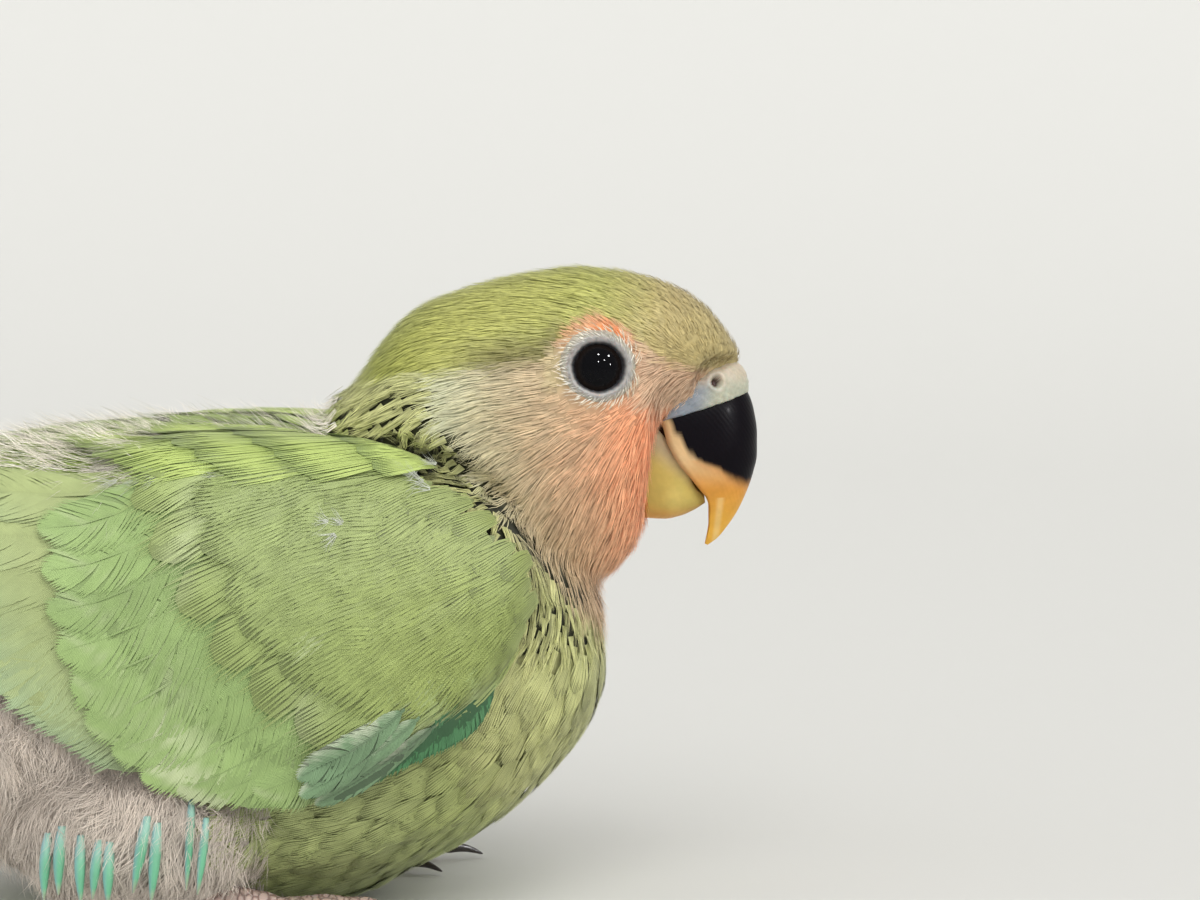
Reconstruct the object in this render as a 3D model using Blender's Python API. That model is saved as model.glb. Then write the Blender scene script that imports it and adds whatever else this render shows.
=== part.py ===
"""Peach-faced lovebird, a young bird of about five weeks, sitting low on the floor with its wings folded.

The bird faces +X, its left side is +Y and +Z is up. The origin is on the floor, midway between the front of
the bill and the end of the tail. Sizes are in millimetres in the tables below, and metres in the mesh.
"""

import math

import bmesh
import bpy
import numpy as np
from mathutils import Matrix, Vector

MM = 0.001

# Driving sizes of the bird
HALF_LENGTH = 63.0      # front of the bill, or end of the tail, from the middle
GAP = 0.3               # left between two pieces that touch
CUTTER_GROWTH = 0.42    # how far a cutter is swollen along its corner normals to leave that gap on its faces
VANE_THICKNESS = 0.52
VANE_CROWN = 0.2          # how far the middle of a feather stands above its edges
VANE_POINT = 0.12         # how far the tip's middle runs on, as a share of the width
EYE_RADIUS = 3.1
SECTION_POWER = 2.35    # 2 is an ellipse, and more is squarer

# Torso and the guide that the wing and tail feathers follow: x, top, bottom, half width
BODY_LINE = [
    (-66.0, 32.5, 26.5, 5.5),
    (-54.0, 35.5, 26.5, 7.5),
    (-45.0, 38.0, 26.0, 9.0),
    (-38.0, 40.0, 25.0, 10.2),
    (-30.0, 42.6, 17.5, 13.2),
    (-20.0, 45.5, 8.5, 17.0),
    (-10.0, 47.5, 2.2, 19.6),
    (0.0, 48.6, -0.6, 20.8),
    (10.0, 49.0, -0.6, 21.2),
    (20.0, 48.7, 0.2, 21.0),
    (30.0, 47.0, 3.4, 19.6),
    (38.0, 43.6, 8.0, 16.8),
    (43.0, 39.6, 12.6, 13.4),
    (46.2, 35.0, 17.4, 9.0),
    (47.8, 29.5, 22.5, 3.6),
]
TORSO_REAR, TORSO_FRONT = -38.0, 47.8
TORSO_RINGS, TORSO_SIDES = 19, 24
RUMP_START, RUMP_INSET = -18.0, 1.4

# Head and neck as one hood: x, top, bottom, half width, and how much wider the upper half is than the lower
HOOD_LINE = [
    (19.5, 51.0, 46.0, 5.0, 0.0),
    (21.5, 52.9, 42.0, 9.0, 0.0),
    (24.0, 56.2, 38.0, 11.6, 0.0),
    (28.5, 59.9, 34.0, 13.2, 0.0),
    (34.0, 62.2, 31.5, 13.9, 0.0),
    (40.0, 63.6, 30.8, 13.9, 0.0),
    (45.0, 64.2, 31.4, 13.3, 0.03),
    (48.6, 64.0, 33.2, 12.2, 0.06),
    (50.6, 63.7, 35.2, 11.3, 0.10),
    (51.8, 63.4, 38.2, 10.6, 0.14),
    (52.3, 63.3, 43.0, 10.3, 0.14),
    (53.0, 63.1, 47.4, 10.0, 0.10),
    (56.2, 61.6, 50.4, 8.4, 0.05),
    (58.2, 60.0, 52.0, 7.0, 0.0),
    (60.0, 57.6, 53.2, 5.0, 0.0),
    (61.2, 55.6, 54.2, 2.0, 0.0),
]
HOOD_SIDES = 24
HEAD_CUT_TOP, HEAD_CUT_BOTTOM = (31.7, 62.3), (47.2, 33.1)

# Bill and cere in profile: point on the upper outline, point on the lower one, half width
UPPER_BILL = [
    ((62.0, 51.3), (53.4, 48.4), 4.7),
    ((62.8, 48.6), (54.2, 46.3), 5.0),
    ((63.0, 46.0), (55.4, 44.4), 4.8),
    ((62.8, 43.4), (56.6, 42.7), 4.2),
    ((62.0, 40.9), (57.6, 41.0), 3.4),
    ((60.9, 38.9), (57.9, 39.2), 2.4),
    ((59.6, 37.3), (57.8, 37.7), 1.5),
    ((58.2, 36.1), (57.5, 36.4), 0.6),
]
LOWER_BILL = [
    ((50.0, 47.6), (49.4, 40.0), 4.3),
    ((52.2, 47.0), (51.6, 38.9), 4.5),
    ((53.9, 45.2), (53.6, 38.6), 4.3),
    ((55.4, 43.4), (55.2, 39.0), 3.7),
    ((56.6, 42.0), (56.6, 39.7), 2.8),
    ((57.5, 40.9), (57.6, 40.3), 1.6),
]
CERE = [
    ((61.9, 51.7), (53.8, 49.0), 5.0),
    ((62.0, 53.2), (55.0, 50.9), 4.8),
    ((61.5, 54.6), (56.6, 52.8), 4.2),
    ((60.4, 55.6), (57.8, 54.2), 3.2),
]
BILL_SIDES = 10
NOSTRIL = (58.7, 4.55, 52.9)
NOSTRIL_RADIUS = 0.6

EYE = (46.7, 9.45, 54.5)
EYE_TURN_FORWARD, EYE_TURN_UP = math.radians(9), math.radians(7)
LID_RADIUS, LID_THICKNESS, LID_DEPTH = 3.15, 0.62, 2.05

# Wing core in the side view: x, lower edge, upper edge
WING_CORE = [
    (41.6, 32.5, 35.5),
    (39.6, 29.0, 38.6),
    (36.0, 25.0, 42.0),
    (31.0, 20.6, 44.8),
    (25.0, 18.0, 46.6),
    (18.0, 18.5, 47.6),
    (11.0, 21.0, 47.9),
    (4.0, 27.0, 47.6),
    (-1.0, 34.0, 46.8),
]
CORE_LIFT, CORE_BULGE, CORE_EDGE = 0.5, 3.0, 1.1
CORE_COLUMNS = 8

# Feather tiers of the wing in the side view, each a line of roots and a line of tips that run from the lowest
# feather to the highest, with the count, the width and the height of its middle over the body.
WING_TIERS = {
    "primaries": dict(
        roots=[(20.0, 24.5), (10.0, 34.0)],
        tips=[(-40.0, 35.4), (-46.0, 37.0), (-38.0, 39.6), (-27.0, 41.4)],
        count=7, width=6.4, lifts=(0.8, 0.8), bow=-1.6, steps=5,
    ),
    "secondaries": dict(
        roots=[(17.0, 25.0), (12.0, 43.0)],
        tips=[(-4.5, 21.8), (-12.0, 27.6), (-21.0, 33.4), (-26.0, 38.4), (-24.0, 43.2)],
        count=8, width=7.4, lifts=(1.2, 1.5), bow=-1.0, steps=4,
    ),
    "greater_coverts": dict(
        roots=[(27.5, 24.0), (20.0, 33.0), (14.0, 43.5)],
        tips=[(14.0, 15.2), (4.5, 15.6), (-1.5, 21.0), (-5.0, 30.0), (-6.5, 39.0)],
        count=8, width=7.0, lifts=(1.5, 2.3), bow=-0.8, steps=3,
    ),
    "scapulars": dict(
        roots=[(27.0, 40.5), (25.0, 45.0)],
        tips=[(9.0, 40.0), (1.0, 44.2), (-4.0, 48.2)],
        count=5, width=6.4, lifts=(1.5, 1.2), bow=0.6, steps=3,
    ),
    "primary_coverts": dict(
        roots=[(35.6, 26.6), (32.0, 29.5)],
        tips=[(26.5, 14.4), (20.5, 13.4), (17.0, 15.4)],
        count=4, width=5.6, lifts=(1.2, 2.0), bow=-0.5, steps=3,
    ),
}
SHINGLE = 0.72          # height between one feather and the next in the same tier

# Tail: pairs of feathers from the middle pair outwards
TAIL_PAIRS, TAIL_STEPS = 6, 3
TAIL_ROOT = (-38.6, 31.6)
TAIL_TIP_HEIGHT = 29.5
TAIL_SPREAD, TAIL_STEP_BACK, TAIL_FEATHER_WIDTH = 7.2, 1.5, 6.2
TAIL_ARCH = 0.16          # how fast the tail falls away from its middle line
TAIL_BASE = [
    (-38.3, 37.8, 26.6, 8.2),
    (-42.0, 36.0, 27.2, 7.2),
    (-47.0, 34.0, 28.0, 5.6),
    (-51.0, 32.8, 28.8, 4.0),
    (-53.5, 32.0, 29.8, 2.2),
]

# Legs, given for one side with y outwards
THIGH_CENTRE, THIGH_RADII = (2.5, 16.8, 9.6), (13.0, 6.4, 8.2)
FOOT = (15.5, 15.6, 2.0)
HEEL = (3.5, 16.8, 5.6)
TARSUS_RADIUS = 1.55
# Toes: end of the toe, height of its middle joint, radius at the root and at the end
TOES = [
    ((8.0, 11.6, 1.15), 1.5, 1.35, 1.1),
    ((26.6, 11.9, 1.15), 2.0, 1.45, 1.15),
    ((30.4, 18.6, 1.15), 2.3, 1.45, 1.15),
    ((3.2, 19.6, 1.15), 1.8, 1.4, 1.1),
]
CLAW_LENGTH, CLAW_DROP, CLAW_RADIUS = 4.2, 0.75, 0.72

COLOURS = {
    "torso": (0.42, 0.52, 0.22), "neck": (0.36, 0.44, 0.12), "head": (0.50, 0.50, 0.22),
    "eye": (0.01, 0.008, 0.01), "cere": (0.62, 0.64, 0.55), "bill_upper": (0.03, 0.025, 0.04),
    "bill_lower": (0.75, 0.62, 0.22), "wing": (0.30, 0.48, 0.14), "tail": (0.25, 0.45, 0.18),
    "thigh": (0.40, 0.37, 0.34), "foot": (0.42, 0.38, 0.37), "claw": (0.09, 0.08, 0.08),
}
ROUGHNESS = {"eye": 0.05, "cere": 0.45, "bill_upper": 0.3, "bill_lower": 0.35, "claw": 0.35}


def clear_scene():
    for old in list(bpy.data.objects):
        bpy.data.objects.remove(old, do_unlink=True)


def make_collection(name, hidden=False):
    collection = bpy.data.collections.new(name)
    bpy.context.scene.collection.children.link(collection)
    collection.hide_render = hidden
    return collection


def material_for(kind):
    name = "lovebird_" + kind
    found = bpy.data.materials.get(name)
    if found:
        return found
    material = bpy.data.materials.new(name)
    material.use_nodes = True
    shader = material.node_tree.nodes["Principled BSDF"]
    shader.inputs["Base Color"].default_value = (*COLOURS[kind], 1.0)
    shader.inputs["Roughness"].default_value = ROUGHNESS.get(kind, 0.75)
    shader.inputs["Metallic"].default_value = 0.0
    return material


def smooth_table(rows, x):
    """The row of a table at x, by a curve through its rows that never swings past them."""
    data = np.array(sorted(rows), float)
    knots, values = data[:, 0], data[:, 1:]
    steps = np.diff(knots)
    slopes = np.diff(values, axis=0) / steps[:, None]
    tangents = np.zeros_like(values)
    tangents[0], tangents[-1] = slopes[0], slopes[-1]
    for i in range(1, len(knots) - 1):
        same_way = slopes[i - 1] * slopes[i] > 0
        total = slopes[i - 1] + slopes[i]
        mean = 2 * slopes[i - 1] * slopes[i] / np.where(total == 0, 1, total)
        tangents[i] = np.where(same_way, mean, 0)
    x = min(max(x, knots[0]), knots[-1])
    i = min(int(np.searchsorted(knots, x, side="right")) - 1, len(knots) - 2)
    i = max(i, 0)
    t = (x - knots[i]) / steps[i]
    h = steps[i]
    return (
        (2 * t**3 - 3 * t**2 + 1) * values[i] + (t**3 - 2 * t**2 + t) * h * tangents[i]
        + (-2 * t**3 + 3 * t**2) * values[i + 1] + (t**3 - t**2) * h * tangents[i + 1]
    )


def along(points, t):
    """The place at share t of an open line through evenly spaced points."""
    points = np.array(points, float)
    return np.array([np.interp(t * (len(points) - 1), range(len(points)), points[:, k]) for k in range(points.shape[1])])


def signed_power(value, power):
    return math.copysign(abs(value) ** power, value)


def section_point(x, angle, top, bottom, half_width, fuller_top=0.0, power=SECTION_POWER):
    """A point of the closed section at x: angle 0 is the right side, and a quarter turn is the top."""
    middle, half_height = (top + bottom) / 2, (top - bottom) / 2
    rise = signed_power(math.sin(angle), 2 / power)
    across = signed_power(math.cos(angle), 2 / power) * (1 + fuller_top * rise)
    return np.array([x, -half_width * across, middle + half_height * rise])


def body_point(x, angle, lift=0.0):
    """A point of the body guide, raised along its normal."""
    top, bottom, half_width = smooth_table(BODY_LINE, x)
    point = section_point(x, angle, top, bottom, half_width)
    if not lift:
        return point
    small_x, small_angle = 0.5, 0.03
    ahead = section_point(x + small_x, angle, *smooth_table(BODY_LINE, x + small_x))
    behind = section_point(x - small_x, angle, *smooth_table(BODY_LINE, x - small_x))
    above = section_point(x, angle + small_angle, top, bottom, half_width)
    below = section_point(x, angle - small_angle, top, bottom, half_width)
    normal = np.cross(ahead - behind, above - below)
    return point + lift * normal / np.linalg.norm(normal)


def girth_radius(x):
    top, bottom, half_width = smooth_table(BODY_LINE, x)
    return ((top - bottom) / 2 + half_width) / 2


def plan_of(side_point):
    """A place in the side view as (x, distance round the body from its widest line)."""
    x, z = side_point
    top, bottom, _ = smooth_table(BODY_LINE, x)
    share = (z - (top + bottom) / 2) / ((top - bottom) / 2)
    share = min(max(share, -0.97), 0.97)
    return np.array([x, girth_radius(x) * math.asin(signed_power(share, SECTION_POWER / 2))])


def plan_point(plan, lift):
    return body_point(plan[0], plan[1] / girth_radius(plan[0]), lift)


def mesh_object(name, points, faces, collection):
    mesh = bpy.data.meshes.new(name)
    mesh.from_pydata([tuple(p) for p in np.array(points, float) * MM], [], faces)
    obj = bpy.data.objects.new(name, mesh)
    collection.objects.link(obj)
    work = bmesh.new()
    work.from_mesh(mesh)
    bmesh.ops.recalc_face_normals(work, faces=work.faces)
    work.to_mesh(mesh)
    work.free()
    return obj


def loft(name, rings, collection):
    """A closed solid through rings of points, split into triangles that match on its two broad faces."""
    count = len(rings[0])
    points = [p for ring in rings for p in ring]
    faces = []
    for i in range(len(rings) - 1):
        for k in range(count):
            a, b = i * count + k, i * count + (k + 1) % count
            d, c = a + count, b + count
            if k < count / 2:
                faces += [(a, b, c), (a, c, d)]
            else:
                faces += [(a, b, d), (b, c, d)]
    for ring_index in (0, len(rings) - 1):
        start = ring_index * count
        low, high = 0, count - 1
        while high - low > 1:
            faces.append((start + low, start + low + 1, start + high))
            if high - low > 2:
                faces.append((start + low + 1, start + high - 1, start + high))
            low, high = low + 1, high - 1
    return mesh_object(name, points, faces, collection)


def apply_modifiers(obj):
    graph = bpy.context.evaluated_depsgraph_get()
    mesh = bpy.data.meshes.new_from_object(obj.evaluated_get(graph))
    obj.modifiers.clear()
    obj.data = mesh
    return obj


def keep_largest(obj):
    """Leaves only the largest closed surface of a mesh."""
    work = bmesh.new()
    work.from_mesh(obj.data)
    unseen = set(work.faces)
    shells = []
    while unseen:
        shell, front = set(), [unseen.pop()]
        while front:
            face = front.pop()
            shell.add(face)
            near = {f for edge in face.edges for f in edge.link_faces} & unseen
            unseen -= near
            front += near
        shells.append(shell)
    shells.sort(key=lambda shell: sum(f.calc_area() for f in shell))
    loose = [f for shell in shells[:-1] for f in shell]
    if loose:
        bmesh.ops.delete(work, geom=loose, context="FACES")
    bmesh.ops.triangulate(work, faces=work.faces)
    work.to_mesh(obj.data)
    work.free()
    return obj


def combine(obj, others, operation, solver="EXACT"):
    """One Boolean of obj with a list of closed mesh objects, which are then removed."""
    group = bpy.data.collections.new("operands")
    bpy.context.scene.collection.children.link(group)
    for other in others:
        for old in list(other.users_collection):
            old.objects.unlink(other)
        group.objects.link(other)
    modifier = obj.modifiers.new("join", "BOOLEAN")
    modifier.operation = operation
    modifier.operand_type = "COLLECTION"
    modifier.collection = group
    modifier.solver = solver
    bpy.context.view_layer.update()
    apply_modifiers(obj)
    for other in others:
        bpy.data.objects.remove(other, do_unlink=True)
    bpy.data.collections.remove(group)
    return keep_largest(obj)


def copy_of(obj, collection, name="copy"):
    copy = obj.copy()
    copy.data = obj.data.copy()
    copy.name = name
    collection.objects.link(copy)
    return copy


def swollen(obj, collection, growth=CUTTER_GROWTH):
    """A copy pushed out along its normals, to cut room for the piece with a gap round it."""
    copy = copy_of(obj, collection, obj.name + "_room")
    work = bmesh.new()
    work.from_mesh(copy.data)
    bmesh.ops.remove_doubles(work, verts=work.verts, dist=0.02 * MM)
    work.normal_update()
    moves = [vertex.normal * growth * MM for vertex in work.verts]
    for vertex, move in zip(work.verts, moves):
        vertex.co += move
    work.to_mesh(copy.data)
    work.free()
    return copy


def region(name, low_point, high_point, forwards, collection):
    """A large block on one side of the upright slanting plane through two points of the side view."""
    low, high = np.array(low_point, float), np.array(high_point, float)
    line = (high - low) / np.linalg.norm(high - low)
    normal = np.array([line[1], -line[0]]) * (1 if forwards else -1)
    near = low - normal * -GAP / 2
    reach = 120.0
    corners = [near - line * reach, near + line * reach]
    corners += [corners[1] + normal * reach, corners[0] + normal * reach]
    rings = [[(x, y, z) for x, z in corners] for y in (-reach, reach)]
    return loft(name, rings, collection)


def floor_cutter(collection):
    rings = [[(x, y, z) for y, z in ((-90, -40), (90, -40), (90, 0), (-90, 0))] for x in (-150, 150)]
    return loft("floor_cutter", rings, collection)


def mirrored(obj, name, collection):
    """The same piece on the bird's other side."""
    copy = copy_of(obj, collection, name)
    copy.data.transform(Matrix.Scale(-1, 4, Vector((0, 1, 0))))
    copy.data.flip_normals()
    return copy


def finish_node(obj, name, kind, collection):
    obj.name = name
    obj.data.name = name
    for old in list(obj.users_collection):
        old.objects.unlink(obj)
    collection.objects.link(obj)
    obj.data.materials.clear()
    obj.data.materials.append(material_for(kind))
    obj.data.shade_smooth()
    obj.data.set_sharp_from_angle(angle=math.radians(40))
    return obj


def make_torso(collection):
    """The trunk. It is drawn in towards the tail, under the wing tips, and its rings are closest in front."""
    rings = []
    for i in range(TORSO_RINGS):
        x = TORSO_REAR + (TORSO_FRONT - TORSO_REAR) * math.sin(math.pi / 2 * i / (TORSO_RINGS - 1)) ** 0.9
        top, bottom, half_width = smooth_table(BODY_LINE, x)
        inset = RUMP_INSET * min(max((RUMP_START - x) / (RUMP_START - TORSO_REAR), 0), 1)
        rings.append([
            section_point(x, 2 * math.pi * k / TORSO_SIDES, top - inset, bottom + inset, half_width - inset)
            for k in range(TORSO_SIDES)
        ])
    torso = loft("torso", rings, collection)
    return combine(torso, [floor_cutter(collection)], "DIFFERENCE")


def make_hood(collection):
    xs = [row[0] for row in HOOD_LINE]
    places = sorted(xs + [(a + b) / 2 for a, b in zip(xs, xs[1:]) if b - a > 2.9])
    rings = []
    for x in places:
        top, bottom, half_width, fuller = smooth_table(HOOD_LINE, x)
        rings.append([
            section_point(x, 2 * math.pi * k / HOOD_SIDES, top, bottom, half_width, fuller, 2.15)
            for k in range(HOOD_SIDES)
        ])
    return loft("hood", rings, collection)


def bill_rings(stations, sides=BILL_SIDES, ridge=0.85, upside_down=False):
    """Rings of an arch from one edge round the ridge to the other edge, closed by a flat inner face."""
    rings = []
    for upper, lower, half_width in stations:
        upper, lower = np.array(upper), np.array(lower)
        ridge_point, edge_point = (lower, upper) if upside_down else (upper, lower)
        ring = []
        for k in range(sides + 1):
            angle = math.pi * (k / sides - 0.5)
            reach = math.cos(angle) ** ridge
            place = edge_point + (ridge_point - edge_point) * reach
            ring.append((place[0], half_width * math.sin(angle), place[1]))
        rings.append(ring)
    return rings


def make_bill(collection):
    upper = loft("bill_upper", bill_rings(UPPER_BILL), collection)
    lower = loft("bill_lower", bill_rings(LOWER_BILL, upside_down=True), collection)
    cere = loft("cere", bill_rings(CERE, ridge=0.75), collection)
    combine(cere, [swollen(upper, collection)], "DIFFERENCE")
    combine(lower, [swollen(upper, collection)], "DIFFERENCE")
    pits = []
    for side in (-1, 1):
        bpy.ops.mesh.primitive_uv_sphere_add(segments=10, ring_count=6, radius=NOSTRIL_RADIUS * MM)
        pit = bpy.context.object
        pit.data.transform(Matrix.Translation(Vector((NOSTRIL[0], side * NOSTRIL[1], NOSTRIL[2])) * MM))
        pits.append(pit)
    combine(cere, pits, "DIFFERENCE")
    return upper, lower, cere


def eye_frame(side):
    """The matrix of an eye, whose own +Z looks out of the head."""
    turn = Matrix.Rotation(-side * EYE_TURN_FORWARD, 4, "Z") @ Matrix.Rotation(side * EYE_TURN_UP, 4, "X")
    face_out = Matrix.Rotation(-side * math.pi / 2, 4, "X")
    return Matrix.Translation(Vector((EYE[0], side * EYE[1], EYE[2])) * MM) @ turn @ face_out


def make_eye(side, radius):
    bpy.ops.mesh.primitive_uv_sphere_add(segments=16, ring_count=10, radius=radius * MM)
    eye = bpy.context.object
    eye.data.transform(eye_frame(side))
    return eye


def make_lid(side):
    bpy.ops.mesh.primitive_torus_add(
        major_radius=LID_RADIUS * MM, minor_radius=LID_THICKNESS * MM, major_segments=20, minor_segments=6,
    )
    lid = bpy.context.object
    lid.data.transform(eye_frame(side) @ Matrix.Translation((0, 0, LID_DEPTH * MM)))
    return lid


def vane_share(i, steps):
    """How far along a feather its cross-section i lies. They are closest near the tip."""
    return 1 - (1 - i / steps) ** 1.5


def vane_width(t):
    """Share of a feather's full width at t along it, narrow at the root and rounded at the tip."""
    return (0.62 + 0.38 * math.sin(math.pi / 2 * min(t / 0.6, 1))) * math.sqrt(1 - 0.88 * max(t / 0.4 - 1.5, 0) ** 2)


def vane(name, root, tip, width, lifts, bow, slope, steps, collection):
    """A feather on the body guide, from root to tip in the side view. Its lower edge stands proud by slope."""
    root, tip = plan_of(root), plan_of(tip)
    run = tip - root
    ahead = run / np.linalg.norm(run)
    across = np.array([-ahead[1], ahead[0]])
    if across[1] < 0:
        across = -across
    rings = []
    for i in range(steps + 1):
        t = vane_share(i, steps)
        centre = root + run * t + across * bow * 4 * t * (1 - t)
        lift = lifts[0] + (lifts[1] - lifts[0]) * t
        half = width / 2 * vane_width(t)
        thin = VANE_THICKNESS * (1 - 0.3 * t)
        point = VANE_POINT * width if i == steps else 0.0
        edges = []
        for share in (-1, 0, 1):
            plan = centre + across * half * share + ahead * point * (1 - abs(share))
            edges.append((plan, lift + slope * half * (1 - share) + VANE_CROWN * (1 - abs(share))))
        outer = [plan_point(plan, height + thin / 2) for plan, height in edges]
        inner = [plan_point(plan, height - thin / 2) for plan, height in reversed(edges)]
        rings.append(outer + inner)
    return loft(name, rings, collection)


def tier_vanes(tier, collection):
    """The feathers of one tier, from its lowest to its highest."""
    vanes = []
    count = tier["count"]
    for i in range(count):
        t = i / (count - 1)
        root, tip = along(tier["roots"], t), along(tier["tips"], t)
        pitch = np.linalg.norm(plan_of(along(tier["tips"], 1.0)) - plan_of(along(tier["tips"], 0.0))) / (count - 1)
        slope = SHINGLE / max(pitch, 3.2)
        form = (tier["width"], tier["lifts"], tier["bow"], slope, tier["steps"])
        vanes.append(vane(f"vane_{i}", root, tip, *form, collection))
    return vanes


def make_wing_core(collection):
    """The fleshy part of the folded wing, a lens that lies on the body guide."""
    rings = []
    for x, low, high in WING_CORE:
        low_plan, high_plan = plan_of((x, low)), plan_of((x, high))
        outer, inner = [], []
        for k in range(CORE_COLUMNS + 1):
            v = k / CORE_COLUMNS
            plan = low_plan + (high_plan - low_plan) * v
            edge_share = math.sqrt(max(1 - (2 * v - 1) ** 2, 0))
            end_share = 0.25 if x in (WING_CORE[0][0], WING_CORE[-1][0]) else 1.0
            outer.append(plan_point(plan, CORE_LIFT + CORE_EDGE + CORE_BULGE * edge_share * end_share))
            inner.append(plan_point(plan, CORE_LIFT))
        rings.append(outer + inner[::-1])
    return loft("wing", rings, collection)


def make_wing(core, collection):
    vanes = [v for tier in WING_TIERS.values() for v in tier_vanes(tier, collection)]
    return combine(core, vanes, "UNION")


def tail_vane(name, pair, side, collection):
    """One tail feather: the middle pair lies on top, and each next one lies lower, further out and shorter."""
    share = (pair + 0.5) / TAIL_PAIRS
    root = np.array([TAIL_ROOT[0], side * 3.4 * share, TAIL_ROOT[1] + 1.6 - 0.55 * pair])
    tip = np.array([
        -HALF_LENGTH + VANE_POINT * TAIL_FEATHER_WIDTH + TAIL_STEP_BACK * pair,
        side * TAIL_SPREAD * share,
        TAIL_TIP_HEIGHT + 2.0 - (VANE_THICKNESS + GAP) * pair - 0.42 * (side > 0),
    ])
    rings = []
    for i in range(TAIL_STEPS + 1):
        t = vane_share(i, TAIL_STEPS)
        half = TAIL_FEATHER_WIDTH / 2 * vane_width(t)
        thin = VANE_THICKNESS * (1 - 0.25 * t)
        point = VANE_POINT * TAIL_FEATHER_WIDTH if i == TAIL_STEPS else 0.0
        outer, inner = [], []
        for share in (-1, 0, 1):
            place = root + (tip - root) * t + np.array([-point * (1 - abs(share)), half * share, 0])
            place[2] += VANE_CROWN * (1 - abs(share)) - TAIL_ARCH * abs(place[1])
            outer.append(place + np.array([0, 0, thin / 2]))
            inner.append(place - np.array([0, 0, thin / 2]))
        rings.append(outer + inner[::-1])
    return loft(name, rings, collection)


def make_tail(collection):
    rings = [
        [section_point(x, 2 * math.pi * k / 16, top, bottom, half_width, power=2.1) for k in range(16)]
        for x, top, bottom, half_width in TAIL_BASE
    ]
    tail = loft("tail", rings, collection)
    feathers = [
        tail_vane(f"tail_feather_{pair}_{side}", pair, side, collection)
        for pair in range(TAIL_PAIRS) for side in (-1, 1)
    ]
    return combine(tail, feathers, "UNION")


def tube(name, stations, sides, collection, growth=0.0):
    """A round tapered limb through (place, radius) stations, or with growth the room that it needs."""
    places = [np.array(place, float) for place, _ in stations]
    rings = []
    for i, (place, radius) in enumerate(stations):
        ahead = places[min(i + 1, len(places) - 1)] - places[max(i - 1, 0)]
        ahead /= np.linalg.norm(ahead)
        side = np.cross((0, 0, 1), ahead)
        side /= np.linalg.norm(side)
        up = np.cross(ahead, side)
        end = -1 if i == 0 else 1 if i == len(places) - 1 else 0
        centre = np.array(place) + ahead * growth * end
        rings.append([
            centre + (radius + growth) * (math.cos(a) * side + math.sin(a) * up)
            for a in (2 * math.pi * k / sides for k in range(sides))
        ])
    return loft(name, rings, collection)


def toe_stations(end, middle_height, root_radius, end_radius):
    """Stations from the foot to the end of a toe, with a bead at each joint of the toe."""
    start, end = np.array(FOOT), np.array(end, float)
    stations = []
    for t, swell in ((0.0, 1.0), (0.25, 0.94), (0.45, 1.1), (0.62, 0.92), (0.8, 1.1), (1.0, 0.7)):
        place = start + (end - start) * t
        place[2] += (middle_height - (start[2] + end[2]) / 2) * 4 * t * (1 - t)
        stations.append((place, (root_radius + (end_radius - root_radius) * t) * swell))
    return stations


def leg_tubes(collection, growth=0.0):
    """The bare shank and the four toes as tubes, or with growth the room they need."""
    heel, foot = np.array(HEEL), np.array(FOOT)
    shank = [
        (heel + (foot - heel) * t, TARSUS_RADIUS * swell)
        for t, swell in ((0.0, 1.25), (0.2, 1.0), (0.6, 0.95), (0.95, 1.15), (1.1, 0.7))
    ]
    tubes = [tube("foot", shank, 10, collection, growth)]
    tubes += [tube("toe", toe_stations(*toe), 7, collection, growth) for toe in TOES]
    return tubes


def make_foot(collection):
    shank, *toes = leg_tubes(collection)
    combine(shank, toes, "UNION")
    return combine(shank, [floor_cutter(collection)], "DIFFERENCE")


def make_claw(toe, collection, growth=0.0):
    """A hooked claw that carries a toe on, from just past its end."""
    foot, end = np.array(FOOT), np.array(toe[0])
    ahead = (end - foot) * np.array([1, 1, 0])
    ahead /= np.linalg.norm(ahead)
    stations = []
    for t, share in ((0.0, 0.95), (0.3, 0.85), (0.65, 0.55), (1.0, 0.18)):
        place = end + ahead * (GAP + CLAW_LENGTH * t)
        place[2] = end[2] + 0.25 * math.sin(math.pi * t) - CLAW_DROP * t**2
        stations.append((place, CLAW_RADIUS * share))
    return tube("claw", stations, 7, collection, growth)


def make_thigh(collection):
    bpy.ops.mesh.primitive_uv_sphere_add(segments=16, ring_count=10, radius=1.0)
    thigh = bpy.context.object
    shape = Matrix.Diagonal(Vector((*THIGH_RADII, 1.0))) * MM
    shape[3][3] = 1.0
    thigh.data.transform(Matrix.Translation(Vector(THIGH_CENTRE) * MM) @ shape)
    return thigh


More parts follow.
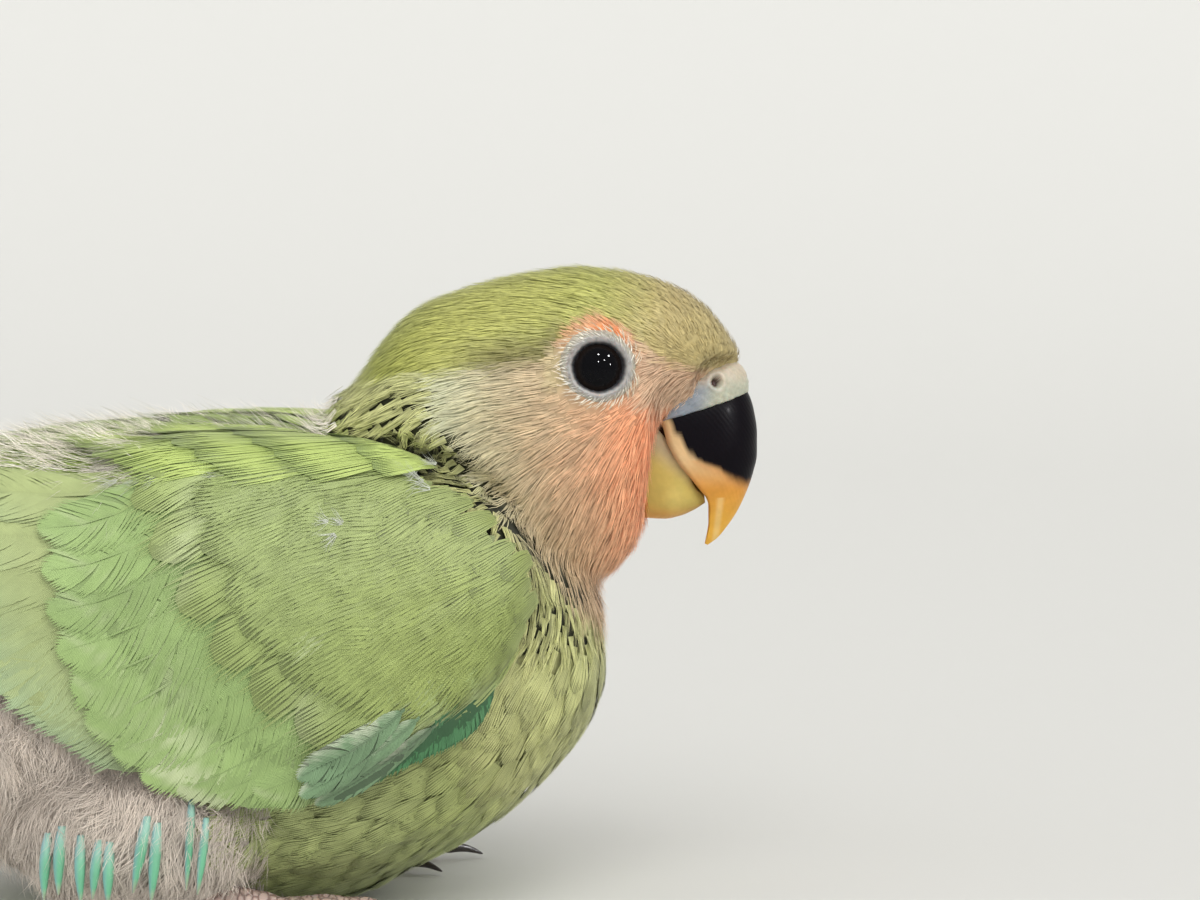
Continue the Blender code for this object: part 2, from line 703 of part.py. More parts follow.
def main():
    clear_scene()
    bird = make_collection("lovebird")
    spare = make_collection("cutters", hidden=True)

    torso = make_torso(spare)
    upper, lower, cere = make_bill(spare)

    head = make_hood(spare)
    neck = copy_of(head, spare, "neck")
    combine(head, [region("ahead", HEAD_CUT_BOTTOM, HEAD_CUT_TOP, True, spare)], "INTERSECT")
    combine(neck, [region("behind", HEAD_CUT_BOTTOM, HEAD_CUT_TOP, False, spare)], "INTERSECT")
    combine(head, [swollen(torso, spare)], "DIFFERENCE")
    wing_core = make_wing_core(spare)
    wing_room = swollen(wing_core, spare)
    combine(neck, [swollen(torso, spare), wing_room, mirrored(wing_room, "room", spare)], "DIFFERENCE")
    combine(head, [make_lid(-1), make_lid(1)], "UNION")
    combine(head, [make_eye(-1, EYE_RADIUS + GAP), make_eye(1, EYE_RADIUS + GAP)], "DIFFERENCE")
    combine(head, [swollen(upper, spare), swollen(cere, spare)], "DIFFERENCE")
    combine(head, [swollen(lower, spare)], "DIFFERENCE")

    wing = make_wing(wing_core, spare)
    tail = make_tail(spare)
    foot = make_foot(spare)
    thigh = make_thigh(spare)
    combine(thigh, [swollen(torso, spare)], "DIFFERENCE")
    combine(thigh, leg_tubes(spare, GAP), "DIFFERENCE")
    room = leg_tubes(spare, GAP) + [make_claw(toe, spare, GAP) for toe in TOES]
    room += [mirrored(piece, "room", spare) for piece in room]
    combine(torso, room, "DIFFERENCE")
    foot_right = mirrored(foot, "foot_right", spare)

    finish_node(torso, "torso", "torso", bird)
    finish_node(neck, "neck", "neck", bird)
    finish_node(head, "head", "head", bird)
    finish_node(cere, "cere", "cere", bird)
    finish_node(upper, "bill_upper", "bill_upper", bird)
    finish_node(lower, "bill_lower", "bill_lower", bird)
    finish_node(tail, "tail", "tail", bird)
    finish_node(make_eye(-1, EYE_RADIUS), "eye_right", "eye", bird)
    finish_node(make_eye(1, EYE_RADIUS), "eye_left", "eye", bird)
    # The limbs are modelled with y outwards, so those on the left are as made and the right ones are mirrored.
    # The wing is modelled on the right.
    finish_node(mirrored(wing, "wing_left", spare), "wing_left", "wing", bird)
    finish_node(wing, "wing_right", "wing", bird)
    finish_node(foot_right, "foot_right", "foot", bird)
    finish_node(foot, "foot_left", "foot", bird)
    finish_node(mirrored(thigh, "thigh_right", spare), "thigh_right", "thigh", bird)
    finish_node(thigh, "thigh_left", "thigh", bird)
    for i, toe in enumerate(TOES, start=1):
        claw = make_claw(toe, spare)
        finish_node(mirrored(claw, "claw_mirrored", spare), f"claw_right_{i}", "claw", bird)
        finish_node(claw, f"claw_left_{i}", "claw", bird)


main()
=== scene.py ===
# %% [markdown]
# # A young peach faced lovebird
# The bird faces +X, its right side faces the camera at -Y, and +Z is up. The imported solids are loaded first,
# as a frame that holds every place and size. The skin, feathers, bill and feet are then made over it.

# %% Load the solids
import math

import bmesh
import bpy
import numpy as np
from mathutils import Matrix, Vector
from mathutils.kdtree import KDTree


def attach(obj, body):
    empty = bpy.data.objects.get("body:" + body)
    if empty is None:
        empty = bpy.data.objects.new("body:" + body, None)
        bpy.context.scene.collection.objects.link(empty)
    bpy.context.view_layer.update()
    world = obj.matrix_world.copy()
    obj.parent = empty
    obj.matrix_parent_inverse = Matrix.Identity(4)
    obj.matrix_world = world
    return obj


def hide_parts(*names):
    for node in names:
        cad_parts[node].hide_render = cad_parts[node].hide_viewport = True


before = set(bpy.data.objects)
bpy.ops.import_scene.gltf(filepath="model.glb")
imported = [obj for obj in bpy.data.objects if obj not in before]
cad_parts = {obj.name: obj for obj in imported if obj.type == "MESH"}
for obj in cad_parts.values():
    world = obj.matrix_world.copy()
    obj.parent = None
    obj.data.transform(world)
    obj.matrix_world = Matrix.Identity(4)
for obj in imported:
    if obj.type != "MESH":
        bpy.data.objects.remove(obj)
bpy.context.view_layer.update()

MM = 0.001
print("solids loaded:", len(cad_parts))

# %% [markdown]
# Blender's operators act on whatever is selected, so each step starts by clearing the selection. A finished
# piece rides on the one body of this still model and takes the material it is given.

# %% Small helpers for every piece
def select_only(*pieces):
    for other in list(bpy.context.selected_objects):
        other.select_set(False)
    for piece in pieces:
        piece.select_set(True)
    bpy.context.view_layer.objects.active = pieces[0] if pieces else None


def apply_all(piece):
    """Applies a piece's modifiers in order."""
    select_only(piece)
    for modifier in list(piece.modifiers):
        bpy.ops.object.modifier_apply(modifier=modifier.name)
    return piece


def settle(piece, matrix=None):
    """Puts an object's place into its mesh, so that the object itself sits at the origin."""
    bpy.context.view_layer.update()
    piece.data.transform(matrix if matrix is not None else piece.matrix_world)
    piece.matrix_world = Matrix.Identity(4)
    return piece


def finish_piece(piece, name, material, slot, *nodes):
    piece.name = name
    piece.data.name = name
    piece.data.materials.clear()
    piece.data.materials.append(material)
    piece.data.shade_smooth()
    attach(piece, "root")
    if nodes:
        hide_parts(*nodes)
    print(name, "has", len(piece.data.polygons), "faces")
    return piece


def mesh_from_arrays(name, points, triangles):
    """A mesh object from arrays of points in millimetres and triangles."""
    mesh = bpy.data.meshes.new(name)
    mesh.vertices.add(len(points))
    mesh.vertices.foreach_set("co", (np.asarray(points, np.float32) * MM).ravel())
    mesh.loops.add(len(triangles) * 3)
    mesh.loops.foreach_set("vertex_index", np.asarray(triangles, np.int32).ravel())
    mesh.polygons.add(len(triangles))
    mesh.polygons.foreach_set("loop_start", np.arange(len(triangles), dtype=np.int32) * 3)
    mesh.update(calc_edges=True)
    piece = bpy.data.objects.new(name, mesh)
    bpy.context.scene.collection.objects.link(piece)
    return piece


def smoothstep(value, low, high):
    t = np.clip((np.asarray(value, float) - low) / (high - low), 0, 1)
    return t * t * (3 - 2 * t)


def mix(first, second, share):
    share = np.asarray(share)[..., None]
    return np.asarray(first) * (1 - share) + np.asarray(second) * share


def unit(vectors):
    return vectors / np.maximum(np.linalg.norm(vectors, axis=-1, keepdims=True), 1e-9)


def ripple(value, seed, scale=1.0):
    """A smooth wavering number for each value, about -1 to 1."""
    phases = np.random.default_rng(seed).uniform(0, 7, 4)
    return sum(np.sin(value * scale * f + p) / f**0.4 for f, p in zip((1.0, 2.3, 4.1, 7.7), phases)) / 2.2


# %% [markdown]
# ## Camera, floor and light
# The bird was seen square on from its right, a little above its middle, by a lens that flattens the view. The
# camera stands 400 mm away on a 120 mm lens, which makes a millimetre about 10 pixels of a 1200 pixel frame.

# %% Camera
CAMERA_DISTANCE, CAMERA_RISE, CAMERA_TARGET = 400.0, math.radians(6), Vector((47.2, 0.0, 45.5))
CAMERA_LENS, SENSOR_WIDTH, NEAREST_SEEN = 120.0, 36.0, 0.01
camera_data = bpy.data.cameras.new("camera")
camera_data.lens, camera_data.sensor_width, camera_data.clip_start = CAMERA_LENS, SENSOR_WIDTH, NEAREST_SEEN
camera = bpy.data.objects.new("camera", camera_data)
bpy.context.scene.collection.objects.link(camera)
back_off = Vector((0, -math.cos(CAMERA_RISE), math.sin(CAMERA_RISE)))
camera.location = (CAMERA_TARGET + back_off * CAMERA_DISTANCE) * MM
camera.rotation_euler = (-back_off).to_track_quat("-Z", "Y").to_euler()
bpy.context.scene.camera = camera
print("camera at", [round(v, 3) for v in camera.location])

# %% [markdown]
# The floor runs up into a plain backdrop, as on a photographer's table, so that no horizon cuts the picture.
# Broad lamps far away light floor and bird evenly, and a pale room fills the shadows.

# %% Floor and lights
FLOOR_SIZE, FLOOR_FORWARD = 6.0, 1.8
BACKDROP_HEIGHT, BACKDROP_CURVE = 3.0, 0.8


def far_light(name, direction, spread, strength, colour=(1, 1, 1)):
    data = bpy.data.lights.new(name, "SUN")
    data.angle, data.energy, data.color = math.radians(spread), strength, colour
    light = bpy.data.objects.new(name, data)
    light.rotation_euler = Vector(direction).to_track_quat("Z", "Y").to_euler()
    light.visible_glossy = False
    bpy.context.scene.collection.objects.link(light)


select_only()
bpy.ops.mesh.primitive_plane_add(size=FLOOR_SIZE, location=(0, -FLOOR_FORWARD, 0))
floor = bpy.context.object
floor.name = "floor"
bpy.ops.object.mode_set(mode="EDIT")
bpy.ops.mesh.select_all(action="DESELECT")
bpy.ops.mesh.select_mode(type="EDGE")
floor_edit = bmesh.from_edit_mesh(floor.data)
for edge in floor_edit.edges:
    edge.select_set(all(v.co.y > FLOOR_SIZE / 2 - 0.1 for v in edge.verts))
bmesh.update_edit_mesh(floor.data)
bpy.ops.mesh.extrude_region_move(TRANSFORM_OT_translate={"value": (0, 0, BACKDROP_HEIGHT)})
bpy.ops.object.mode_set(mode="OBJECT")
curve = floor.modifiers.new("sweep", "BEVEL")
curve.width, curve.segments, curve.limit_method = BACKDROP_CURVE, 16, "ANGLE"
apply_all(settle(floor))
floor.data.shade_smooth()
floor_material = bpy.data.materials.new("pale_floor")
floor_material.use_nodes = True
floor_shader = floor_material.node_tree.nodes["Principled BSDF"]
floor_shader.inputs["Base Color"].default_value = (0.62, 0.622, 0.605, 1)
floor_shader.inputs["Roughness"].default_value = 0.9
floor.data.materials.append(floor_material)

far_light("window_light", (0.25, -0.75, 0.85), 50, 1.75, (1.0, 0.985, 0.96))
far_light("room_light", (-0.6, -0.7, 0.35), 80, 0.75, (0.97, 0.985, 1.0))
far_light("back_light", (-0.1, 0.9, 0.9), 50, 0.5)
far_light("low_light", (0.85, -0.45, 0.12), 70, 0.40)
world = bpy.data.worlds.new("room")
bpy.context.scene.world = world
world.use_nodes = True
world.node_tree.nodes["Background"].inputs["Color"].default_value = (1.0, 0.985, 0.96, 1)
world.node_tree.nodes["Background"].inputs["Strength"].default_value = 0.62
bpy.context.scene.view_settings.view_transform = "Standard"

# %% [markdown]
# ## The body guide
# The solids of the trunk follow one table of sections along the body. The wing feathers lie on it too, so the
# same table is used here. A place on the wing is given as x and as the distance round the body from its
# widest line, which lets a flat feather pattern be wrapped round the bird.

# %% Body guide
BODY_LINE = np.array([
    (-66.0, 32.5, 26.5, 5.5), (-54.0, 35.5, 26.5, 7.5), (-45.0, 38.0, 26.0, 9.0), (-38.0, 40.0, 25.0, 10.2),
    (-30.0, 42.6, 17.5, 13.2), (-20.0, 45.5, 8.5, 17.0), (-10.0, 47.5, 2.2, 19.6), (0.0, 48.6, -0.6, 20.8),
    (10.0, 49.0, -0.6, 21.2), (20.0, 48.7, 0.2, 21.0), (30.0, 47.0, 3.4, 19.6), (38.0, 43.6, 8.0, 16.8),
    (43.0, 39.6, 12.6, 13.4), (46.2, 35.0, 17.4, 9.0), (47.8, 29.5, 22.5, 3.6),
])
SECTION_POWER = 2.35


def through_table(rows, x):
    """The columns of a table at each x, on curves that never swing past its rows."""
    knots, values = rows[:, 0], rows[:, 1:]
    steps = np.diff(knots)[:, None]
    slopes = np.diff(values, axis=0) / steps
    total = slopes[:-1] + slopes[1:]
    same_way = slopes[:-1] * slopes[1:] > 0
    inner = np.where(same_way, 2 * slopes[:-1] * slopes[1:] / np.where(total == 0, 1, total), 0)
    tangents = np.vstack([slopes[:1], inner, slopes[-1:]])
    x = np.clip(np.asarray(x, float), knots[0], knots[-1])
    i = np.clip(np.searchsorted(knots, x, side="right") - 1, 0, len(knots) - 2)
    step = steps[i]
    t = (x[..., None] - knots[i][..., None]) / step
    return (
        (2 * t**3 - 3 * t**2 + 1) * values[i] + (t**3 - 2 * t**2 + t) * step * tangents[i]
        + (-2 * t**3 + 3 * t**2) * values[i + 1] + (t**3 - t**2) * step * tangents[i + 1]
    )


def signed_power(value, power):
    return np.sign(value) * np.abs(value) ** power


def guide_place(x, angle):
    top, bottom, half_width = np.moveaxis(through_table(BODY_LINE, x), -1, 0)
    rise = signed_power(np.sin(angle), 2 / SECTION_POWER)
    across = signed_power(np.cos(angle), 2 / SECTION_POWER)
    return np.stack([x, -half_width * across, (top + bottom) / 2 + (top - bottom) / 2 * rise], axis=-1)


def girth(x):
    top, bottom, half_width = np.moveaxis(through_table(BODY_LINE, x), -1, 0)
    return ((top - bottom) / 2 + half_width) / 2


def plan_of(side_places):
    """Side view places (x, z) as (x, distance round the body)."""
    side_places = np.asarray(side_places, float)
    x, z = side_places[..., 0], side_places[..., 1]
    top, bottom, _ = np.moveaxis(through_table(BODY_LINE, x), -1, 0)
    share = np.clip((z - (top + bottom) / 2) / ((top - bottom) / 2), -0.97, 0.97)
    return np.stack([x, girth(x) * np.arcsin(signed_power(share, SECTION_POWER / 2))], axis=-1)


def on_guide(plan, lift):
    """Points of the right side, each raised by its lift from the guide."""
    x, angle = plan[..., 0], plan[..., 1] / girth(plan[..., 0])
    place = guide_place(x, angle)
    ahead = guide_place(x + 0.5, angle) - guide_place(x - 0.5, angle)
    above = guide_place(x, angle + 0.03) - guide_place(x, angle - 0.03)
    return place + unit(np.cross(ahead, above)) * np.asarray(lift)[..., None]


print("girth at the shoulders", round(float(girth(np.array(30.0))), 1))

# %% [markdown]
# ## The skin
# One skin takes the place of the trunk, neck, head and thighs, so no seam shows. Copies of those solids are
# swollen by a hair so that they fuse, joined, remeshed and smoothed, then drawn in by the depth of the coat.
# The fleshy part of each folded wing is a lens on the trunk, and it is fused with the rest.

# %% The lens of the wing
WING_CORE = np.array([
    (41.6, 32.5, 35.5), (39.6, 29.0, 38.6), (36.0, 25.0, 42.0), (31.0, 20.6, 44.8), (25.0, 18.0, 46.6),
    (18.0, 18.5, 47.6), (11.0, 21.0, 47.9), (4.0, 27.0, 47.6), (-1.0, 34.0, 46.8),
])[::-1]
CORE_LIFT, CORE_EDGE, CORE_BULGE = 0.5, 1.1, 3.0
COAT_DEPTH_WING = 1.0
LENS_COLUMNS, LENS_ROWS = 16, 22


def lens_share(plan):
    """0 at the lens's edge and beyond it, rising to 1 along its middle."""
    edges = through_table(WING_CORE, plan[..., 0])
    low = plan_of(np.stack([plan[..., 0], edges[..., 0]], -1))[..., 1]
    high = plan_of(np.stack([plan[..., 0], edges[..., 1]], -1))[..., 1]
    across = (2 * plan[..., 1] - low - high) / np.maximum(high - low, 1e-6)
    ends = smoothstep(plan[..., 0], -3.0, 8.0) * (1 - smoothstep(plan[..., 0], 37.0, 42.5))
    return np.clip(1 - across**2, 0, 1) ** 0.75 * ends


def wing_lens():
    x = np.linspace(WING_CORE[0, 0], WING_CORE[-1, 0], LENS_ROWS)
    edges = through_table(WING_CORE, x)
    low, high = (plan_of(np.stack([x, edges[:, k]], -1)) for k in (0, 1))
    rings = []
    for v in np.linspace(0, 1, LENS_COLUMNS + 1):
        plan = low * (1 - v) + high * v
        rings.append(on_guide(plan, CORE_LIFT + CORE_EDGE + CORE_BULGE * lens_share(plan) - COAT_DEPTH_WING))
    for v in np.linspace(1, 0, LENS_COLUMNS + 1):
        rings.append(on_guide(low * (1 - v) + high * v, -1.5))
    return np.stack(rings, axis=1)


def loft_faces(ring_count, sides):
    """Triangles of a closed loft whose points are numbered ring by ring."""
    i, k = np.meshgrid(np.arange(ring_count - 1), np.arange(sides), indexing="ij")
    a, b = i * sides + k, i * sides + (k + 1) % sides
    walls = np.stack([np.stack([a, b, b + sides], -1), np.stack([a, b + sides, a + sides], -1)], 2).reshape(-1, 3)
    fan = np.arange(1, sides - 1)
    last = (ring_count - 1) * sides
    start_cap = np.stack([np.zeros_like(fan), fan + 1, fan], -1)
    end_cap = np.stack([np.full_like(fan, last), last + fan, last + fan + 1], -1)
    return np.vstack([walls, start_cap, end_cap])


def face_outwards(piece):
    select_only(piece)
    bpy.ops.object.mode_set(mode="EDIT")
    bpy.ops.mesh.select_all(action="SELECT")
    bpy.ops.mesh.remove_doubles(threshold=0.000005)
    bpy.ops.mesh.normals_make_consistent(inside=False)
    bpy.ops.object.mode_set(mode="OBJECT")
    return piece


def mirror_copy(piece, name):
    """The same piece for the bird's other side."""
    other = piece.copy()
    other.data = piece.data.copy()
    other.name = name
    bpy.context.scene.collection.objects.link(other)
    other.data.transform(Matrix.Scale(-1, 4, Vector((0, 1, 0))))
    other.data.flip_normals()
    return other


lens_rings = wing_lens()
lens_right = face_outwards(mesh_from_arrays(
    "wing_lens", lens_rings.reshape(-1, 3), loft_faces(lens_rings.shape[0], lens_rings.shape[1])))
lens_left = mirror_copy(lens_right, "wing_lens_left")

# %% Skin
FLESH_NODES = ["torso", "neck", "head", "thigh_left", "thigh_right"]
UNDER_CERE = "cere"
FUSE_SWELL = 0.00028
SKIN_VOXEL = 0.00055
BODY_COAT_DEPTH = 1.5
SKIN_LOWEST = 0.25


def merged_copy(node, name):
    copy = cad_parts[node].copy()
    copy.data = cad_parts[node].data.copy()
    copy.name = name
    copy.parent = None
    for key in list(copy.keys()):
        del copy[key]
    bpy.context.scene.collection.objects.link(copy)
    copy.hide_render = False
    return face_outwards(copy)


def swell(piece, amount):
    modifier = piece.modifiers.new("swell", "DISPLACE")
    modifier.mid_level, modifier.strength = 0.0, amount
    return apply_all(piece)


def fuse(piece, voxel, passes):
    """Remeshes a piece into one closed skin and smooths it."""
    remesh = piece.modifiers.new("fuse", "REMESH")
    remesh.mode, remesh.voxel_size = "VOXEL", voxel
    smooth = piece.modifiers.new("smooth", "SMOOTH")
    smooth.factor, smooth.iterations = 0.5, passes
    return apply_all(piece)


def coat_depth(points):
    """How deep the skin lies under the tips of the coat, in millimetres, at points in millimetres."""
    x, z = points[:, 0], points[:, 2]
    from_bill = np.linalg.norm(points - np.array([57.0, 0, 46.0]), axis=1)
    head = 0.20 + 0.30 * smoothstep(from_bill, 8.0, 18.0)
    share = smoothstep(x + 0.5 * (z - 45), 26.0, 38.0)
    head = head + 0.9 * (1 - smoothstep(np.hypot(x - 59.8, z - 52.4), 2.0, 3.6))
    depth = BODY_COAT_DEPTH * (1 - share) + head * share
    return depth * (0.35 + 0.65 * smoothstep(z, 0.5, 4.0))


flesh = [swell(merged_copy(node, "flesh_" + node), FUSE_SWELL) for node in FLESH_NODES + [UNDER_CERE]]
flesh += [lens_right, lens_left]
select_only(*flesh)
bpy.ops.object.join()
skin = fuse(bpy.context.object, SKIN_VOXEL, 5)


def read_vertices(mesh):
    """The points of a mesh in millimetres, and their normals."""
    places = np.empty(len(mesh.vertices) * 3, np.float32)
    normals = np.empty(len(mesh.vertices) * 3, np.float32)
    mesh.vertices.foreach_get("co", places)
    mesh.vertices.foreach_get("normal", normals)
    return places.reshape(-1, 3).astype(float) / MM, normals.reshape(-1, 3).astype(float)


places, normals = read_vertices(skin.data)
places = places - normals * (coat_depth(places) + FUSE_SWELL / MM)[:, None]
places[:, 2] = np.maximum(places[:, 2], SKIN_LOWEST)
skin.data.vertices.foreach_set("co", (places * MM).astype(np.float32).ravel())
skin.data.update()
print("skin vertices", len(places))

# %% [markdown]
# Feathers are set on this skin by asking for its nearest vertex, with a search tree, and then dropping a
# point onto the plane of that vertex. That is quick enough for hundreds of thousands of points.

# %% Dropping points onto the skin
skin_places, skin_normals = read_vertices(skin.data)
skin_tree = KDTree(len(skin_places))
for index, place in enumerate(skin_places.tolist()):
    skin_tree.insert(place, index)
skin_tree.balance()


def drop(points):
    """The skin's point and normal nearest to each point."""
    nearest = np.fromiter((skin_tree.find(p)[1] for p in points.tolist()), int, len(points))
    normal = skin_normals[nearest]
    height = np.einsum("ij,ij->i", points - skin_places[nearest], normal)
    return points - normal * height[:, None], normal


def scatter(wanted, spacing, seed):
    """Evenly spread places on the skin, at least spacing apart, where wanted(points, normals) holds."""
    rng = np.random.default_rng(seed)
    pool = np.flatnonzero(wanted(skin_places, skin_normals))
    pool = rng.permutation(pool)
    points = skin_places[pool] + rng.uniform(-0.25, 0.25, (len(pool), 3))
    cells = np.floor(points / spacing).astype(int)
    taken, kept = {}, []
    limit = spacing * spacing
    near = [(i, j, k) for i in (-1, 0, 1) for j in (-1, 0, 1) for k in (-1, 0, 1)]
    for number, (point, cell) in enumerate(zip(points.tolist(), cells.tolist())):
        a, b, c = cell
        clear = True
        for i, j, k in near:
            other = taken.get((a + i, b + j, c + k))
            if other and (other[0] - point[0])**2 + (other[1] - point[1])**2 + (other[2] - point[2])**2 < limit:
                clear = False
                break
        if clear:
            taken[(a, b, c)] = point
            kept.append(number)
    return drop(points[kept])


# %% [markdown]
# ## Plumage colours
# The markings are a rule over the body, in named colours, so that the skin, its coat and both sides agree. The
# crown is olive green and yellower on the nape, the forehead is tan, the cheek goes from pale cream to peach,
# and the throat is orange. A small orange patch sits over the front of the eye.

# %% Markings
COLOURS = {name: np.array(value) for name, value in {
    "crown": (0.52, 0.53, 0.155), "nape": (0.37, 0.40, 0.085), "forehead": (0.52, 0.425, 0.185),
    "eye_line": (0.165, 0.14, 0.04), "lore": (0.72, 0.50, 0.33), "brow": (0.88, 0.33, 0.12),
    "bib_edge": (0.50, 0.47, 0.30), "neck": (0.54, 0.55, 0.24), "dark_bases_and_gap_shade": (0.022, 0.024, 0.008),
    "breast": (0.42, 0.47, 0.17), "back": (0.36, 0.47, 0.12), "rump": (0.12, 0.34, 0.46),
    "belly": (0.42, 0.47, 0.20), "down": (0.60, 0.53, 0.46), "down_cream": (0.86, 0.80, 0.70),
    "behind_eye": (0.52, 0.46, 0.24),
}.items()}
CHEEK_STEPS = np.array([33.0, 38.0, 43.0, 46.5, 49.0, 51.5])
CHEEK_COLOURS = np.array([(0.62, 0.63, 0.42), (0.60, 0.53, 0.33), (0.61, 0.44, 0.265), (0.70, 0.43, 0.25),
                          (0.85, 0.43, 0.23), (0.93, 0.40, 0.20)])
BILL_BASE = np.array([60.0, 0.0, 47.5])
EYE = np.array([46.7, 9.45, 54.5])
CHEEK_TOP = np.array([
    (20.0, 48.0), (26.0, 53.6), (31.7, 54.2), (37.5, 54.9), (41.9, 55.4), (43.4, 57.4), (45.0, 58.9),
    (47.5, 59.6), (50.2, 58.2), (52.0, 56.4), (54.0, 55.1), (57.0, 54.0), (64.0, 53.0),
])
BIB_REAR = np.array([
    (29.0, 56.0), (31.8, 54.1), (32.2, 48.8), (35.1, 43.9), (39.4, 38.1), (43.3, 33.2), (45.0, 31.0),
])


def line_height(line, x):
    """The z of a line of (x, z) points in the side view, at each x."""
    return np.interp(x, line[:, 0], line[:, 1])


def above_cheek(points):
    """Millimetres above the upper edge of the cheek patch, in the side view."""
    return points[:, 2] - line_height(CHEEK_TOP, points[:, 0])


def bib_distance(points):
    """Millimetres in front of the rear edge of the cheek patch and bib, in the side view."""
    return points[:, 0] - np.interp(points[:, 2], BIB_REAR[::-1, 1], BIB_REAR[::-1, 0])


def markings(points):
    """Linear colours of the plumage at points in millimetres."""
    x, y, z = points[:, 0], np.abs(points[:, 1]), points[:, 2]
    over_cheek = above_cheek(points)
    ahead_of_bib = bib_distance(points)
    crown = mix(COLOURS["nape"], COLOURS["crown"], smoothstep(x, 24, 36))
    crown = mix(crown, COLOURS["forehead"], smoothstep(x - 0.25 * (z - 60), 46, 55))
    eye_line = smoothstep(x, 32, 39) * (1 - smoothstep(x, 42.5, 45)) * (1 - smoothstep(over_cheek, 0.6, 3.4))
    crown = mix(crown, COLOURS["eye_line"], 0.8 * eye_line)
    forward = x - 0.20 * np.clip(44 - z, 0, 12)
    cheek = np.stack([np.interp(forward, CHEEK_STEPS, CHEEK_COLOURS[:, k]) for k in range(3)], -1)
    cheek = mix(cheek, COLOURS["lore"], smoothstep(x, 47, 52) * smoothstep(z + 0.3 * (x - 50), 50, 52.5))
    bib_edge = 0.2 * smoothstep(-ahead_of_bib, -3.0, 0.0) * (1 - smoothstep(z, 42, 50))
    cheek = mix(cheek, COLOURS["bib_edge"], bib_edge)
    head = mix(cheek, crown, smoothstep(over_cheek, -0.5, 0.5))
    from_eye = np.hypot(x - EYE[0], z - EYE[2])
    around = np.degrees(np.arctan2(z - EYE[2], x - EYE[0]))
    on_side = smoothstep(y, 7.5, 9.0)
    brow = 1 - 0.65 * smoothstep(around, 78, 95) - 0.35 * smoothstep(around, 120, 160)
    brow = brow * smoothstep(around, 26, 42) * (1 - smoothstep(from_eye, 4.2, 4.9)) * on_side
    head = mix(head, COLOURS["brow"], brow)
    behind_eye = (1 - smoothstep(from_eye, 4.2, 5.6)) * smoothstep(np.abs(around), 140, 165) * on_side
    head = mix(head, COLOURS["behind_eye"], 0.6 * behind_eye)
    body = mix(COLOURS["belly"], COLOURS["back"], smoothstep(z, 24, 38))
    body = mix(body, COLOURS["rump"], smoothstep(-x, 24, 34) * smoothstep(z - 0.2 * x, 30, 40))
    body = mix(body, COLOURS["breast"], smoothstep(x, 26, 38) * (1 - smoothstep(z, 36, 42)))
    neck = mix(body, COLOURS["neck"], smoothstep(x + 0.5 * (z - 45), 20, 27))
    green_crown = smoothstep(over_cheek, -0.4, 0.4) * smoothstep(x + 0.9 * (z - 52), 23, 29)
    head_share = np.maximum(smoothstep(ahead_of_bib, -0.6, 0.6), green_crown)
    head_share = head_share * smoothstep(z + 0.6 * (x - 45), 29.0, 31.5)
    return mix(neck, head, head_share)


print("cheek colour", markings(np.array([[40.0, -13.0, 50.0]])).round(2).tolist())

# %% [markdown]
# Every tuft also needs a place on an unwrap of the skin's own shape, so that a baked picture keeps its
# colours apart. The skin is unrolled about the body's middle line, and each tuft is a tiny patch at its root.

# %% Unwrap
PATCH = 0.003


def unwrap(points):
    """The place of points on the unwrap: across by length along the body, up by turn about its middle line."""
    x = points[..., 0]
    middle = np.interp(x, [-63, -30, 0, 25, 45, 63], [31, 30, 24, 30, 44, 48])
    turn = np.arctan2(-points[..., 1], -(points[..., 2] - middle)) / (2 * math.pi) + 0.5
    return np.stack([0.02 + 0.96 * (x + 63) / 126, 0.01 + 0.98 * turn], -1)


def write_fields(piece, colours, uv=None, barb=None):
    """Stores the plumage colour of each vertex, its place on the unwrap, and its place on its own feather."""
    mesh = piece.data
    layer = mesh.color_attributes.new("Plumage", "FLOAT_COLOR", "POINT")
    layer.data.foreach_set("color", np.column_stack([colours, np.ones(len(colours))]).astype(np.float32).ravel())
    if uv is not None:
        corner = np.empty(len(mesh.loops), np.int32)
        mesh.loops.foreach_get("vertex_index", corner)
        unwrapped = mesh.uv_layers.new(name="OFBake")
        unwrapped.data.foreach_set("uv", uv[corner].astype(np.float32).ravel())
    if barb is not None:
        own = mesh.attributes.new("Barb", "FLOAT_VECTOR", "POINT")
        own.data.foreach_set("vector", barb.astype(np.float32).ravel())


def unwrap_skin(piece, points):
    """The unwrap of the skin itself, with no face stretched across the seam under the belly."""
    mesh = piece.data
    corner = np.empty(len(mesh.loops), np.int32)
    mesh.loops.foreach_get("vertex_index", corner)
    uv = unwrap(points)[corner]
    start = np.empty(len(mesh.polygons), np.int32)
    mesh.polygons.foreach_get("loop_start", start)
    owner = np.repeat(np.arange(len(start)), np.diff(np.append(start, len(corner))))
    high = np.zeros(len(start))
    np.maximum.at(high, owner, uv[:, 1])
    low = np.ones(len(start))
    np.minimum.at(low, owner, uv[:, 1])
    torn = (high - low)[owner] > 0.5
    uv[torn & (uv[:, 1] < 0.5), 1] = 0.99
    mesh.uv_layers.new(name="OFBake").data.foreach_set("uv", uv.astype(np.float32).ravel())


# %% [markdown]
# ## Materials of the plumage
# One node group draws the finest lines on the barbs of a feather, from the feather's own coordinates: thin
# lines that leave its middle at a slant. It puts out a mask, and the material mixes its colours by it.

# %% Node helpers
def new_material(name, roughness, specular=0.5, **constants):
    material = bpy.data.materials.new(name)
    material.use_nodes = True
    shader = material.node_tree.nodes["Principled BSDF"]
    shader.inputs["Roughness"].default_value = roughness
    shader.inputs["Specular IOR Level"].default_value = specular
    for socket, value in constants.items():
        shader.inputs[socket.replace("_", " ")].default_value = value
    return material, material.node_tree, shader


